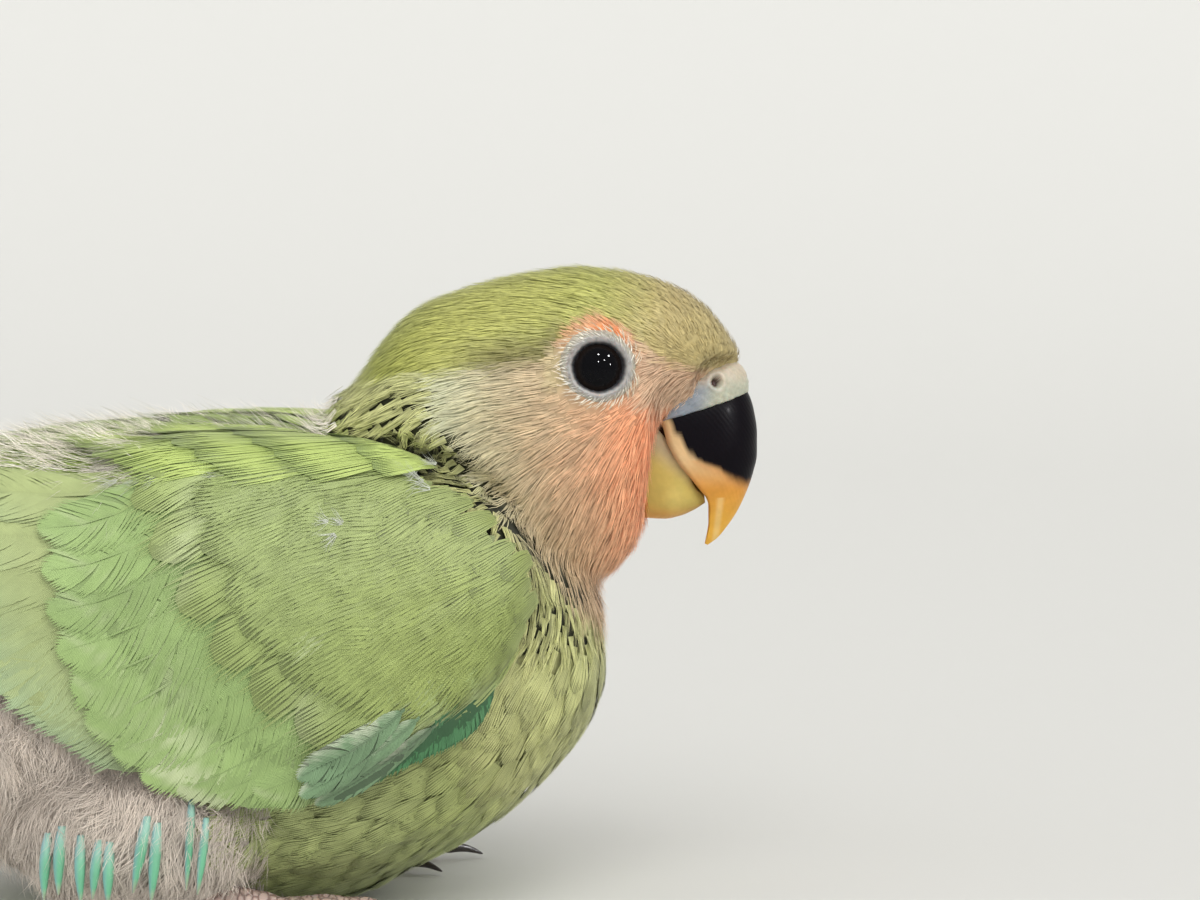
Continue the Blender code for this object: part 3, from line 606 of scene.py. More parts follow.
def node(tree, kind, **values):
    made = tree.nodes.new(kind)
    for key, value in values.items():
        if hasattr(made, key):
            setattr(made, key, value)
        else:
            made.inputs[key.replace("_", " ")].default_value = value
    return made


def maths(tree, operation, first, second=None, third=None, clamp=False):
    made = tree.nodes.new("ShaderNodeMath")
    made.operation, made.use_clamp = operation, clamp
    for socket, value in zip(made.inputs, (first, second, third)):
        if value is None:
            continue
        if isinstance(value, (int, float)):
            socket.default_value = value
        else:
            tree.links.new(value, socket)
    return made.outputs[0]


def mix_colours(tree, share, first, second, blend="MIX"):
    made = tree.nodes.new("ShaderNodeMix")
    made.data_type, made.blend_type = "RGBA", blend
    for socket, value in ((made.inputs[0], share), (made.inputs[6], first), (made.inputs[7], second)):
        if isinstance(value, (int, float)):
            socket.default_value = value
        elif isinstance(value, tuple):
            socket.default_value = (*value, 1.0)
        else:
            tree.links.new(value, socket)
    return made.outputs[2]


def new_group(name, inputs, outputs):
    group = bpy.data.node_groups.new(name, "ShaderNodeTree")
    for label, kind, value in inputs:
        socket = group.interface.new_socket(name=label, in_out="INPUT", socket_type=kind)
        if value is not None:
            socket.default_value = value
    for label, kind in outputs:
        group.interface.new_socket(name=label, in_out="OUTPUT", socket_type=kind)
    return group, group.nodes.new("NodeGroupInput"), group.nodes.new("NodeGroupOutput")


# %% Barb lines and soft mottling
def barb_line_group():
    """Fine lines that slant away from a feather's shaft, from the feather's own coordinates."""
    group, start, end = new_group(
        "barb_lines",
        [("Own Place", "NodeSocketVector", None), ("Spacing", "NodeSocketFloat", 0.36),
         ("Slant", "NodeSocketFloat", 1.0)],
        [("Lines", "NodeSocketFloat")])
    parts = node(group, "ShaderNodeSeparateXYZ")
    group.links.new(start.outputs["Own Place"], parts.inputs[0])
    across = maths(group, "ABSOLUTE", parts.outputs["X"])
    along = maths(group, "SUBTRACT", parts.outputs["Y"], maths(group, "MULTIPLY", across, start.outputs["Slant"]))
    wander = node(group, "ShaderNodeTexNoise", Scale=0.8, Detail=1.0)
    group.links.new(start.outputs["Own Place"], wander.inputs["Vector"])
    shifted = maths(group, "ADD", along, maths(group, "MULTIPLY", wander.outputs["Fac"], 0.5))
    turns = maths(group, "MULTIPLY", maths(group, "DIVIDE", shifted, start.outputs["Spacing"]), 2 * math.pi)
    group.links.new(maths(group, "MULTIPLY_ADD", maths(group, "SINE", turns), 0.5, 0.5), end.inputs["Lines"])
    return group


def mottle_group():
    group, start, end = new_group(
        "mottle",
        [("Color", "NodeSocketColor", (0.5, 0.5, 0.5, 1)), ("Scale", "NodeSocketFloat", 900.0),
         ("Strength", "NodeSocketFloat", 0.25)],
        [("Color", "NodeSocketColor"), ("Height", "NodeSocketFloat")])
    place = node(group, "ShaderNodeTexCoord")
    noise = node(group, "ShaderNodeTexNoise", Detail=3.0)
    group.links.new(place.outputs["Object"], noise.inputs["Vector"])
    group.links.new(start.outputs["Scale"], noise.inputs["Scale"])
    swing = maths(group, "SUBTRACT", noise.outputs["Fac"], 0.5)
    swing = maths(group, "MULTIPLY", swing, start.outputs["Strength"])
    factor = maths(group, "MULTIPLY_ADD", swing, 2.0, 1.0)
    shade = node(group, "ShaderNodeCombineXYZ")
    for socket in shade.inputs:
        group.links.new(factor, socket)
    group.links.new(mix_colours(group, 1.0, start.outputs["Color"], shade.outputs[0], "MULTIPLY"),
                    end.inputs["Color"])
    group.links.new(noise.outputs["Fac"], end.inputs["Height"])
    return group


BARB_LINES, MOTTLE = barb_line_group(), mottle_group()


def place_group(tree, group, **values):
    made = tree.nodes.new("ShaderNodeGroup")
    made.node_tree = group
    for key, value in values.items():
        socket = made.inputs[key.replace("_", " ")]
        if isinstance(value, (int, float)):
            socket.default_value = value
        elif isinstance(value, tuple):
            socket.default_value = (*value, 1.0)
        else:
            tree.links.new(value, socket)
    return made


def bump(tree, shader, height, strength, distance):
    made = node(tree, "ShaderNodeBump", Strength=strength, Distance=distance)
    tree.links.new(height, made.inputs["Height"])
    tree.links.new(made.outputs["Normal"], shader.inputs["Normal"])


def mottled_plumage(tree, scale, strength):
    """The colour stored on a piece's vertices, under soft mottling."""
    stored = node(tree, "ShaderNodeAttribute", attribute_name="Plumage")
    return place_group(tree, MOTTLE, Color=stored.outputs["Color"], Scale=scale, Strength=strength)


# %% Plumage materials
def plumage_material(name, roughness=0.62, mottle=0.3, scale=1400.0, barbules=None, specular=0.25):
    """Feathers whose colour is stored on their vertices, with soft mottling and, on vanes, fine barbules."""
    material, tree, shader = new_material(name, roughness, specular, Sheen_Weight=0.12, Sheen_Roughness=0.5)
    soft = mottled_plumage(tree, scale, mottle)
    colour, height = soft.outputs["Color"], soft.outputs["Height"]
    if barbules:
        own = node(tree, "ShaderNodeAttribute", attribute_name="Barb")
        lines = place_group(tree, BARB_LINES, Own_Place=own.outputs["Vector"], Spacing=barbules, Slant=1.0)
        dark = mix_colours(tree, 1.0, colour, (0.72, 0.76, 0.66), "MULTIPLY")
        colour = mix_colours(tree, lines.outputs["Lines"], colour, dark)
        height = lines.outputs["Lines"]
    tree.links.new(colour, shader.inputs["Base Color"])
    bump(tree, shader, height, 0.25, 0.0001)
    return material


SKIN_COAT = plumage_material("downy_skin", 0.8, 0.5, 700.0)
SOFT_PLUMAGE = plumage_material("soft_plumage")
DOWN_PLUMAGE = plumage_material("grey_down", 0.85, 0.25, 600.0)
VANE_PLUMAGE = plumage_material("vane_plumage", 0.55, 0.16, 450.0, 0.17, 0.35)
print("plumage materials ready")

# %% [markdown]
# ## Feather shapes
# Two shapes make the whole coat. A tuft is a few thin blades that fan from one root, for the short coat of the
# head and for down. A barbed feather is a sheet under bright raised barbs, with the sheet painted dark as the
# shade between the barbs: on a small feather they are combed out to a round tip, and on a large one they leave a
# shaft at a slant. Each shape is worked out for all its feathers at once.

# %% A coat gathers many feathers into one piece
FEATHER_LOWEST = 0.12


class Coat:
    def __init__(self, name):
        self.name, self.count = name, 0
        self.points, self.faces, self.colours, self.uv, self.barb = [], [], [], [], []

    def add(self, points, triangles, colours, uv, barb=None):
        """Takes feathers as (feathers, vertices, 3) arrays that share one list of triangles."""
        number, size = points.shape[:2]
        points = points.reshape(-1, 3).copy()
        points[:, 2] = np.maximum(points[:, 2], FEATHER_LOWEST)
        self.points.append(points)
        offsets = self.count + np.arange(number)[:, None, None] * size
        self.faces.append((triangles[None] + offsets).reshape(-1, 3))
        self.colours.append(colours.reshape(-1, 3))
        self.uv.append(uv.reshape(-1, 2))
        self.barb.append(np.zeros((number * size, 3)) if barb is None else barb.reshape(-1, 3))
        self.count += number * size

    def build(self, material, slot, *nodes):
        points, faces = np.vstack(self.points), np.vstack(self.faces)
        piece = mesh_from_arrays(self.name, points, faces)
        colours = np.clip(np.vstack(self.colours), 0.002, 1)
        write_fields(piece, colours, np.vstack(self.uv), np.vstack(self.barb))
        return finish_piece(piece, self.name, material, slot, *nodes)


def patch_uv(roots, across, along):
    """The little patch of a feather on the unwrap: across and along run from -1 to 1 over it."""
    return unwrap(roots)[:, None, :] + PATCH / 2 * np.stack([across, along], -1)


def own_places(across, along, rng):
    """The place of each vertex on its own feather, and a number drawn for the feather."""
    drawn = rng.uniform(0, 50, (len(across), 1))
    return np.stack([across, along, np.broadcast_to(drawn, across.shape)], -1)


def painted_shading(colour, tone, dark):
    """Feather colours from the painted shade of the sheet, at tone 0, to the full colour of the barbs, at tone 1.
    """
    return colour * (dark + (1.12 - dark) * tone)[..., None]


# %% Laying feathers along the skin
def lay(roots, lie, lengths, steps):
    """Walks along the skin from each root, and gives the places, directions, sides and normals on the way."""
    place, normal = drop(roots)
    direction = None
    path = []
    for step in range(steps + 1):
        wanted = lie(place, normal)
        wanted = unit(wanted - normal * np.einsum("ij,ij->i", wanted, normal)[:, None])
        if direction is None:
            direction = wanted
        else:
            direction = direction - normal * np.einsum("ij,ij->i", direction, normal)[:, None]
            direction = unit(direction * 0.7 + wanted * 0.3)
        path.append((place, direction, np.cross(direction, normal), normal))
        place, normal = drop(place + direction * (lengths / steps)[:, None])
    return [np.stack(parts, axis=1) for parts in zip(*path)]


def turned(lie, angles):
    """A lie whose directions are turned in the skin by a fixed angle for each feather."""
    def turned_lie(points, normals):
        base = lie(points, normals)
        base = unit(base - normals * np.einsum("ij,ij->i", base, normals)[:, None])
        side = np.cross(base, normals)
        return base * np.cos(angles)[:, None] + side * np.sin(angles)[:, None]
    return turned_lie


# %% Tufts of thin blades
def add_tufts(coat, roots, lie, rng, length, width, blades, steps, fan, lift, shade, spread,
              curl=0.0, colour=None, pale_tip=0.12, gather=0.0, turn=0.10, tuft_shade=0.08):
    """Tufts of blades. Lengths and widths are in millimetres, and each blade is shaded at random."""
    number = len(roots)
    lengths = length * rng.uniform(0.75, 1.25, number)
    place, direction, side, normal = lay(roots, turned(lie, rng.normal(0, turn, number)), lengths, steps)
    share = np.linspace(0, 1, steps + 1)
    start = np.linspace(-0.5, 0.5, blades)[None] + rng.uniform(-0.5, 0.5, (number, blades)) / blades
    start = start * width * spread
    opening = rng.normal(0, fan, (number, blades)) + 2 * fan * start / (width * spread)
    reach = rng.uniform(0.7, 1.1, (number, blades))
    rise = rng.uniform(0.5, 1.3, (number, blades))
    bend = rng.normal(0, curl, (number, blades))
    t = share[None, None, :] * reach[..., None]
    across = start[..., None] * (1 - gather * t)
    across = across + (opening[..., None] * t + bend[..., None] * t**2) * lengths[:, None, None]
    height = lift[0] + (lift[1] - lift[0]) * rise[..., None] * t**1.2
    extra = (t - share) * lengths[:, None, None]
    centre = (place[:, None] + side[:, None] * across[..., None] + normal[:, None] * height[..., None]
              + direction[:, None] * extra[..., None])
    half = width / 2 * np.clip(1.15 - share**1.5, 0, 1)
    left = centre - side[:, None] * half[:, None]
    right = centre + side[:, None] * half[:, None]
    points = np.concatenate([left[:, :, :-1], right[:, :, :-1], centre[:, :, -1:]], axis=2)
    per_blade = 2 * steps + 1
    faces = []
    for blade in range(blades):
        base = blade * per_blade
        for k in range(steps - 1):
            a, b = base + k, base + steps + k
            faces += [(a, b, b + 1), (a, b + 1, a + 1)]
        faces.append((base + steps - 1, base + 2 * steps - 1, base + 2 * steps))
    along = np.concatenate([share[:-1], share[:-1], share[-1:]])
    tone = 1 + rng.normal(0, shade, (number, blades, 1, 1)) * 0.6
    tone = tone + pale_tip * (along[None, None, :, None] - 0.6)
    base_colour = markings(roots) if colour is None else np.broadcast_to(colour, (number, 3))
    base_colour = base_colour * (1 + rng.normal(0, tuft_shade, (number, 1)))
    colours = base_colour[:, None, None, :] * np.clip(tone, 0.3, 1.7)
    points = points.reshape(number, -1, 3)
    across_uv = np.tile(np.linspace(-1, 1, blades)[:, None], (1, per_blade)).ravel()
    along_uv = np.tile(2 * along - 1, blades)
    uv = patch_uv(roots, np.broadcast_to(across_uv, (number, len(across_uv))),
                  np.broadcast_to(along_uv, (number, len(along_uv))))
    coat.add(points, np.array(faces), np.broadcast_to(colours, (number, blades, per_blade, 3)), uv)


# %% The shape of a barbed feather
# A feather whose barbs have fewer bends than this is combed; one with more has a shaft. The sheet under the
# barbs is given by its width and length as shares of the feather's, its height in millimetres and its rows.
SHAFT_BENDS = 4
# The sheet is coloured dark through its tone, as painted shade between the barbs.
COMBED_SHEET = (0.80, 0.90, -0.11, 5)
SHAFTED_SHEET = (0.94, 0.97, -0.05, 12)


def feather_edge(s, straight, shoulder):
    """The edge of a feather from its base at s = 0 to its tip at s = 1, as shares of half width and length."""
    low = np.clip(s / straight, 0, 1)
    turn = np.clip((s - straight) / (1 - straight), 0, 1) * np.pi / 2
    u = (0.5 + 0.5 * np.sin(low * np.pi / 2)) * np.cos(turn)
    return u, np.where(s < straight, 0.14 + (shoulder - 0.14) * low, shoulder + (1 - shoulder) * np.sin(turn))


def barbed_shape(lengths, halves, barbs, rng, straight, shoulder, slant, bends, cover, splits):
    """Barbed feathers as (feathers, vertices) arrays of across, along, height and tone, and their triangles.

    The sheet has tone 0, painted dark as the shade between the barbs, and the barbs have tone 1."""
    number = len(lengths)
    combed = bends < SHAFT_BENDS
    sheet_width, sheet_length, sheet_height, rows = COMBED_SHEET if combed else SHAFTED_SHEET
    across, along, height, tone, faces = [], [], [], [], []

    def point(u, v, h, brightness):
        across.append(np.broadcast_to(u, number))
        along.append(np.broadcast_to(v, number))
        height.append(np.broadcast_to(h, number))
        tone.append(np.broadcast_to(brightness, number))
        return len(across) - 1

    for s in np.linspace(0, 1, rows):
        u, v = feather_edge(np.array(s * 0.93), straight, shoulder)
        for side in (-1, 0, 1):
            sheet_u = side * u * min(1, 0.2 + 3 * s) * sheet_width * halves
            point(sheet_u, (v * sheet_length - 0.10 * (1 - s)) * lengths, sheet_height, 0.0)
    for k in range(rows - 1):
        for c in range(2):
            a = k * 3 + c
            faces += [(a, a + 1, a + 4), (a, a + 4, a + 3)]
    spacing = (halves if combed else lengths * 0.9) / barbs
    torn = rng.uniform(0.2, 0.9, (2, max(splits, 1), number))
    depth = rng.uniform(0.02, 0.07, (2, max(splits, 1), number)) * (splits > 0)
    for hand, side in enumerate((-1, 1)):
        for j in range(barbs):
            s = (j + 0.5) / barbs
            u, v = feather_edge(np.array(s), straight, shoulder)
            if combed:
                u = np.array((j + 0.5) / barbs * 0.97)
                v = shoulder + (1 - shoulder) * np.sqrt(1 - u**2)
            base = 0.10 if combed else np.interp(s, [0, straight, 1], [0.02, shoulder - slant, 0.95])
            gap = s - torn[hand]
            shift = (np.sign(gap) * depth[hand] * np.exp(-np.abs(gap) / 0.045)).sum(0)
            reach = 1 + rng.normal(0, 0.05, number)
            ragged = rng.normal(0, 0.05 if combed else 0.0, number)
            bright = 1 + rng.normal(0, 0.09, number)
            tip_u = side * halves * u * reach
            tip_v = lengths * (v + shift * min(1.0, 3 * (1 - s)) + 0.02 * (reach - 1) + ragged)
            base_v = base * lengths
            base_u, bend_u = (tip_u * 0.55, tip_u * 0.86) if combed else (tip_u * 0.0, tip_u * 0.62)
            bend_v = base_v + (tip_v - base_v) * 0.36
            lift = rng.uniform(0.0, 0.035, number)
            ring = []
            for k in range(bends + 1):
                t = k / bends
                u_t = (1 - t) ** 2 * base_u + 2 * t * (1 - t) * bend_u + t * t * tip_u
                v_t = (1 - t) ** 2 * base_v + 2 * t * (1 - t) * bend_v + t * t * tip_v
                if k == bends:
                    ring.append((point(u_t, v_t, -0.02 + lift, 0.72 * bright),))
                    break
                go_u = 2 * (1 - t) * (bend_u - base_u) + 2 * t * (tip_u - bend_u)
                go_v = 2 * (1 - t) * (bend_v - base_v) + 2 * t * (tip_v - bend_v)
                size = np.hypot(go_u, go_v) + 1e-6
                w = spacing * 0.5 * cover * ((0.62 + 0.38 * min(1, 2 * t)) if combed else (1 - 0.25 * t))
                h = 0.03 + lift * t - 0.02 * t
                # Painted shading on each barb: darker towards its root, along one edge and, most of all, at its
                # tip.
                shine = (0.80 + 0.20 * min(1, 2 * t)) * bright
                ring.append((point(u_t - go_v / size * w, v_t + go_u / size * w, h, shine),
                             point(u_t + go_v / size * w, v_t - go_u / size * w, h, 0.78 * shine)))
            for k in range(bends - 1):
                (a, b), (c, d) = ring[k], ring[k + 1]
                faces += [(a, b, d), (a, d, c)]
            faces.append((*ring[bends - 1], ring[bends][0]))
    if not combed:
        shaft = [(point(-0.011 * lengths * (1 - s), s * lengths, 0.06, 0.45),
                  point(0.011 * lengths * (1 - s), s * lengths, 0.06, 0.45)) for s in np.linspace(0, 0.95, 7)]
        for (a, b), (c, d) in zip(shaft, shaft[1:]):
            faces += [(a, b, d), (a, d, c)]
    return [np.stack(v, axis=1) for v in (across, along, height, tone)] + [np.array(faces)]


# %% Barbed feathers on the skin
def add_barbed(coat, roots, lie, rng, length, width, barbs, lift, camber):
    """Combed feathers laid on the skin. Lengths and widths are in millimetres."""
    number = len(roots)
    lengths = length * rng.uniform(0.88, 1.12, number)
    halves = width / 2 * rng.uniform(0.9, 1.1, number)
    across, along, height, tone, faces = barbed_shape(
        lengths, halves, barbs, rng, straight=0.4, shoulder=0.5, slant=0.45, bends=3, cover=0.70, splits=0)
    steps = 4
    frames = lay(roots, turned(lie, rng.normal(0, 0.10, number)), lengths, steps)
    share = np.clip(along / lengths[:, None], 0, 1) * steps
    low = np.minimum(share.astype(int), steps - 1)
    part = (share - low)[..., None]
    rows = np.arange(number)[:, None]
    place, direction, side, normal = (f[rows, low] * (1 - part) + f[rows, low + 1] * part for f in frames)
    v = np.clip(along / lengths[:, None], 0, 1)
    rise = lift[0] + (lift[1] - lift[0]) * v**0.9 + rng.uniform(-0.05, 0.05, number)[:, None]
    points = (place + side * across[..., None] + direction * np.maximum(along - lengths[:, None], 0)[..., None]
              + normal * (rise + height - camber * (across / halves[:, None]) ** 2)[..., None])
    base = markings(roots) * (1 + rng.normal(0, 0.10, (number, 1)))
    uv = patch_uv(roots, across / halves[:, None] * 0.9, 2 * v - 1)
    # The sheet keeps 0.62 of the feather's colour, as painted shade between the barbs.
    coat.add(points, faces, painted_shading(base[:, None], tone, 0.62), uv, own_places(across, along, rng))


# %% [markdown]
# ## The lie of the coat
# Small feathers stream away from the bill: up and back over the crown, straight back over the ear, and round
# and down over the cheek and throat. The head's lie is set by a few directions in the side view, and each
# place takes the mean of them, weighted to the nearest. Round the eye the coat parts. Behind the head it
# runs down and back round the neck, and then along the trunk towards the tail.

# %% Lie of the coat
# x, z and direction in degrees, where 180 points back and 270 points down
HEAD_LIE = np.array([
    (58.5, 56.5, 112), (57.0, 58.5, 122), (52.0, 61.0, 152), (45.0, 63.0, 176), (35.0, 61.0, 193),
    (27.0, 57.0, 206), (47.0, 60.5, 168), (38.0, 56.5, 190), (32.0, 53.5, 196), (56.0, 54.8, 160),
    (54.0, 53.2, 195), (51.0, 51.5, 205), (46.0, 50.0, 197), (40.0, 50.5, 190), (34.0, 51.0, 192),
    (52.0, 48.8, 232), (49.0, 46.5, 235), (44.0, 46.0, 216), (38.0, 46.0, 208), (34.0, 47.0, 206),
    (51.0, 43.0, 256), (47.0, 42.0, 246), (42.0, 42.0, 233), (38.0, 41.0, 226), (50.0, 38.0, 262),
    (46.0, 37.0, 256), (42.0, 37.0, 246), (47.0, 33.0, 254), (43.0, 32.0, 246), (30.0, 48.0, 222),
    (33.0, 44.0, 228), (37.0, 40.0, 238), (25.0, 52.0, 208),
])


def lie(points, normals):
    """The direction in which the coat streams at points on the skin."""
    x, y, z = points[:, 0], points[:, 1], points[:, 2]
    square = (x[:, None] - HEAD_LIE[:, 0]) ** 2 + (z[:, None] - HEAD_LIE[:, 1]) ** 2
    weight = 1 / (square + 0.5) ** 2
    angle = np.radians(HEAD_LIE[:, 2])
    head = unit(np.stack([weight @ np.cos(angle), np.zeros_like(x), weight @ np.sin(angle)], -1))
    side = np.sign(y) * EYE[1]
    from_eye = points - np.stack([np.full_like(x, EYE[0]), side, np.full_like(x, EYE[2])], -1)
    parting = 0.7 * (1 - smoothstep(np.linalg.norm(from_eye, axis=1), 3.4, 5.6))
    head = head + unit(from_eye) * parting[:, None]
    breast = smoothstep(x, 24, 40) * (1 - smoothstep(z, 30, 38))
    trunk = np.stack([-1.0 + 0.35 * breast, np.zeros_like(x), -0.12 - 0.75 * breast], -1)
    trunk_share = 1 - smoothstep(x + 0.45 * (z - 45), 18.0, 28.0)
    share = np.maximum(trunk_share, 1 - smoothstep(z + 0.6 * (x - 45), 26, 31))
    return unit(head * (1 - share)[:, None] + trunk * share[:, None])


def around_eye(points, radius):
    """True near the eyes, within a radius in the side view."""
    return (np.hypot(points[:, 0] - EYE[0], points[:, 2] - EYE[2]) < radius) & (np.abs(points[:, 1]) > 6)


def under_wing(points):
    """Share of cover by the folded wing, from 0 to 1, at points on the skin."""
    side_plan = plan_of(points[:, [0, 2]])
    return lens_share(side_plan) * (np.abs(points[:, 1]) > 8)


def in_head(points):
    """True on the cheek, bib and crown."""
    forward = points[:, 0] + 0.9 * (points[:, 2] - 52)
    cheek_and_bib = (forward > 24) & (bib_distance(points) > -0.3)
    crown = (forward > 23) & (above_cheek(points) > -0.3)
    return cheek_and_bib | crown


def in_neck(points):
    """True on the neck and everything in front of it."""
    return (points[:, 0] + 0.5 * (points[:, 2] - 45) > 21) & (points[:, 2] > 27)


BARE_FACE = np.array([
    (50.0, 38.0), (51.4, 39.0), (51.8, 47.4), (53.0, 47.9), (54.3, 49.0), (55.6, 50.2), (56.6, 51.0),
    (57.2, 52.2), (57.8, 53.6), (58.6, 54.3), (59.8, 54.5), (60.6, 54.2), (61.6, 53.9), (63.5, 53.6),
])


def near_bill(points):
    """Bare places where the cere and the two halves of the bill sit."""
    x, y, z = points[:, 0], np.abs(points[:, 1]), points[:, 2]
    bare = (z < line_height(BARE_FACE, x)) & (x > 51.6) & (z > 38.6)
    return bare & (y < 6.5)


def feathered_head(points):
    """True on the head except at the eyes and the bill."""
    return in_head(points) & ~around_eye(points, 3.75) & ~near_bill(points)


# %% Crown and forehead
rng = np.random.default_rng(11)
crown_coat = Coat("crown_feathers")
crown_roots, _ = scatter(lambda p, n: feathered_head(p) & (above_cheek(p) > -0.3), 0.52, 1)
eye_gap = np.hypot(crown_roots[:, 0] - EYE[0], crown_roots[:, 2] - EYE[2])
forehead = np.maximum(smoothstep(crown_roots[:, 0], 44, 54), 1 - smoothstep(eye_gap, 4.5, 7.0))
for low, high, size in ((-1, 0.3, 2.3), (0.3, 0.85, 1.6), (0.85, 2, 0.9)):
    chosen = crown_roots[(forehead > low) & (forehead <= high)]
    add_tufts(crown_coat, chosen, lie, rng, size, 0.11, blades=5, steps=3, fan=0.07,
              lift=(0.10, 0.22 + 0.17 * size), shade=0.12, gather=0.3, spread=5.0, turn=0.07, tuft_shade=0.04)
crown_coat.build(SOFT_PLUMAGE, "plumage_head")

# %% Cheek and throat
face_roots, _ = scatter(lambda p, n: feathered_head(p) & (above_cheek(p) <= 0.1), 0.58, 2)
face_coat = Coat("cheek_and_throat_feathers")
reach = np.linalg.norm(face_roots - BILL_BASE, axis=1)
reach = np.where(around_eye(face_roots, 5.2), 5.0, np.where(around_eye(face_roots, 6.6), 12.0, reach))
edge_gap = bib_distance(face_roots)
thinned = rng.uniform(0, 1, len(face_roots)) > 0.45 + 0.55 * smoothstep(edge_gap, 0.5, 4.0)
kept = ~(thinned & (face_roots[:, 2] < 50))
face_roots, reach = face_roots[kept], reach[kept]
FACE_RINGS = ((0, 9.5, 1.2, 0.11, (0.05, 0.45)), (9.5, 15, 2.2, 0.12, (0.05, 0.60)),
              (15, 60, 3.3, 0.13, (0.10, 0.85)))
for low, high, size, thick, lifts in FACE_RINGS:
    chosen = face_roots[(reach >= low) & (reach < high)]
    add_tufts(face_coat, chosen, lie, rng, size, thick, blades=5, steps=4, fan=0.05, lift=lifts, shade=0.14,
              curl=0.04, gather=0.45, spread=4.6, turn=0.09, tuft_shade=0.07)
face_coat.build(SOFT_PLUMAGE, "plumage_head")

# %% [markdown]
# ## The folded wing
# Its feathers lie in tiers, each over the roots of the tier behind it: long primaries and secondaries, then
# greater, median and lesser coverts over the shoulder. They are laid out flat, in the body's own unrolled
# coordinates, and then wrapped round it at a height for their tier.

# %% Wing colours
WING = {name: np.array(value) for name, value in {
    "shoulder": (0.325, 0.39, 0.118), "median": (0.33, 0.405, 0.147), "greater": (0.31, 0.43, 0.165),
    "scapular": (0.48, 0.59, 0.165), "secondary": (0.39, 0.45, 0.20), "sheen": (0.52, 0.57, 0.36),
    "blue_grey": (0.33, 0.43, 0.27), "teal": (0.075, 0.225, 0.095), "grey_green": (0.20, 0.32, 0.18),
    "web_dark": (0.07, 0.08, 0.06), "edge_pale": (0.50, 0.56, 0.42), "primary": (0.20, 0.35, 0.12),
}.items()}


def wing_slope(side_places):
    """Angle of the feathers below the horizontal, in radians, at places (x, z) in the side view."""
    x, z = side_places[..., 0], side_places[..., 1]
    low = np.clip(45 - z, 0, 30)
    front = np.clip(x - 26, 0, 16) * smoothstep(low, 2, 14)
    return np.radians(10 + 1.0 * low + 1.2 * front)


def along_line(places, share):
    """Places at shares of the way along a line of points in the side view."""
    places = np.asarray(places, float)
    steps = np.concatenate([[0], np.cumsum(np.linalg.norm(np.diff(places, axis=0), axis=1))])
    at = np.asarray(share) * steps[-1]
    return np.stack([np.interp(at, steps, places[:, k]) for k in (0, 1)], -1)


# %% Feathers on the wing
WING_FRONT = np.array([
    (22.2, 14.4), (31.2, 19.6), (37.1, 23.8), (39.8, 26.9), (41.3, 32.0), (41.2, 36.0), (36.4, 41.2),
    (27.3, 46.0), (20.0, 48.5),
])


def from_wing_front(places):
    """Millimetres behind the front outline of the folded wing, in the side view."""
    return np.interp(places[..., 1], WING_FRONT[:, 1], WING_FRONT[:, 0]) - places[..., 0]


def add_wing_feathers(coats, roots, tips, width, lifts, rng, colour, barbs=None, bow=0.0, shingle=0.30, pitch=3.5,
                      bends=4, cover=0.82, dark=0.58, splits=2, tone_spread=0.05):
    """Feathers from roots to tips, given as side view places, added to the right and left wing."""
    start, end = plan_of(roots), plan_of(tips)
    run = end - start
    lengths = np.linalg.norm(run, axis=1)
    number = len(lengths)
    halves = np.broadcast_to(width, number) / 2 * rng.uniform(0.95, 1.05, number)
    barbs = barbs or int(lengths.mean() / 0.37)
    across, along, height, tone, faces = barbed_shape(
        lengths, halves, barbs, rng, straight=0.55, shoulder=0.72, slant=0.2, bends=bends, cover=cover,
        splits=splits)
    ahead = unit(run)
    upward = np.stack([-ahead[:, 1], ahead[:, 0]], -1)
    upward *= np.sign(upward[:, 1])[:, None]
    v = along / lengths[:, None]
    u = across / halves[:, None]
    curve = bow * 4 * v * (1 - v)
    plan = start[:, None] + ahead[:, None] * along[..., None] + upward[:, None] * (across + curve)[..., None]
    lift = lifts[0] + (lifts[1] - lifts[0]) * v + shingle / pitch * (-across) + height - 0.06 * u**2
    flat = on_guide(plan, np.zeros(plan.shape[:-1]))[..., [0, 2]]
    near_front = 1 - smoothstep(from_wing_front(flat), 0.0, 5.0)
    lift = lift - 1.8 * smoothstep(flat[..., 1], 44.0, 47.6) - 1.4 * near_front
    lift = lift + 2.5 * lens_share(plan) + rng.uniform(-0.02, 0.02, number)[:, None]
    points = on_guide(plan, lift)
    base = colour(u, v, plan) * (1 + rng.normal(0, tone_spread, (number, 1)))[..., None]
    # dark is the share of the colour left on the sheet, as painted shade between the barbs.
    colours = painted_shading(base, tone, dark)
    own = own_places(across, along, rng)
    root_places = on_guide(start, np.full(number, lifts[0]))
    for coat, hand in zip(coats, (1, -1)):
        flip = np.array([1, hand, 1])
        order = faces if hand == 1 else faces[:, ::-1]
        coat.add(points * flip, order, colours, patch_uv(root_places * flip, u * 0.9, 2 * v - 1), own)


def blend_colours(first, second, share):
    """A mix of two wing colours by their names."""
    return WING[first] * (1 - share)[..., None] + WING[second] * share[..., None]


rng = np.random.default_rng(21)
flight = [Coat("flight_feathers_right"), Coat("flight_feathers_left")]
covert = [Coat("wing_coverts_right"), Coat("wing_coverts_left")]

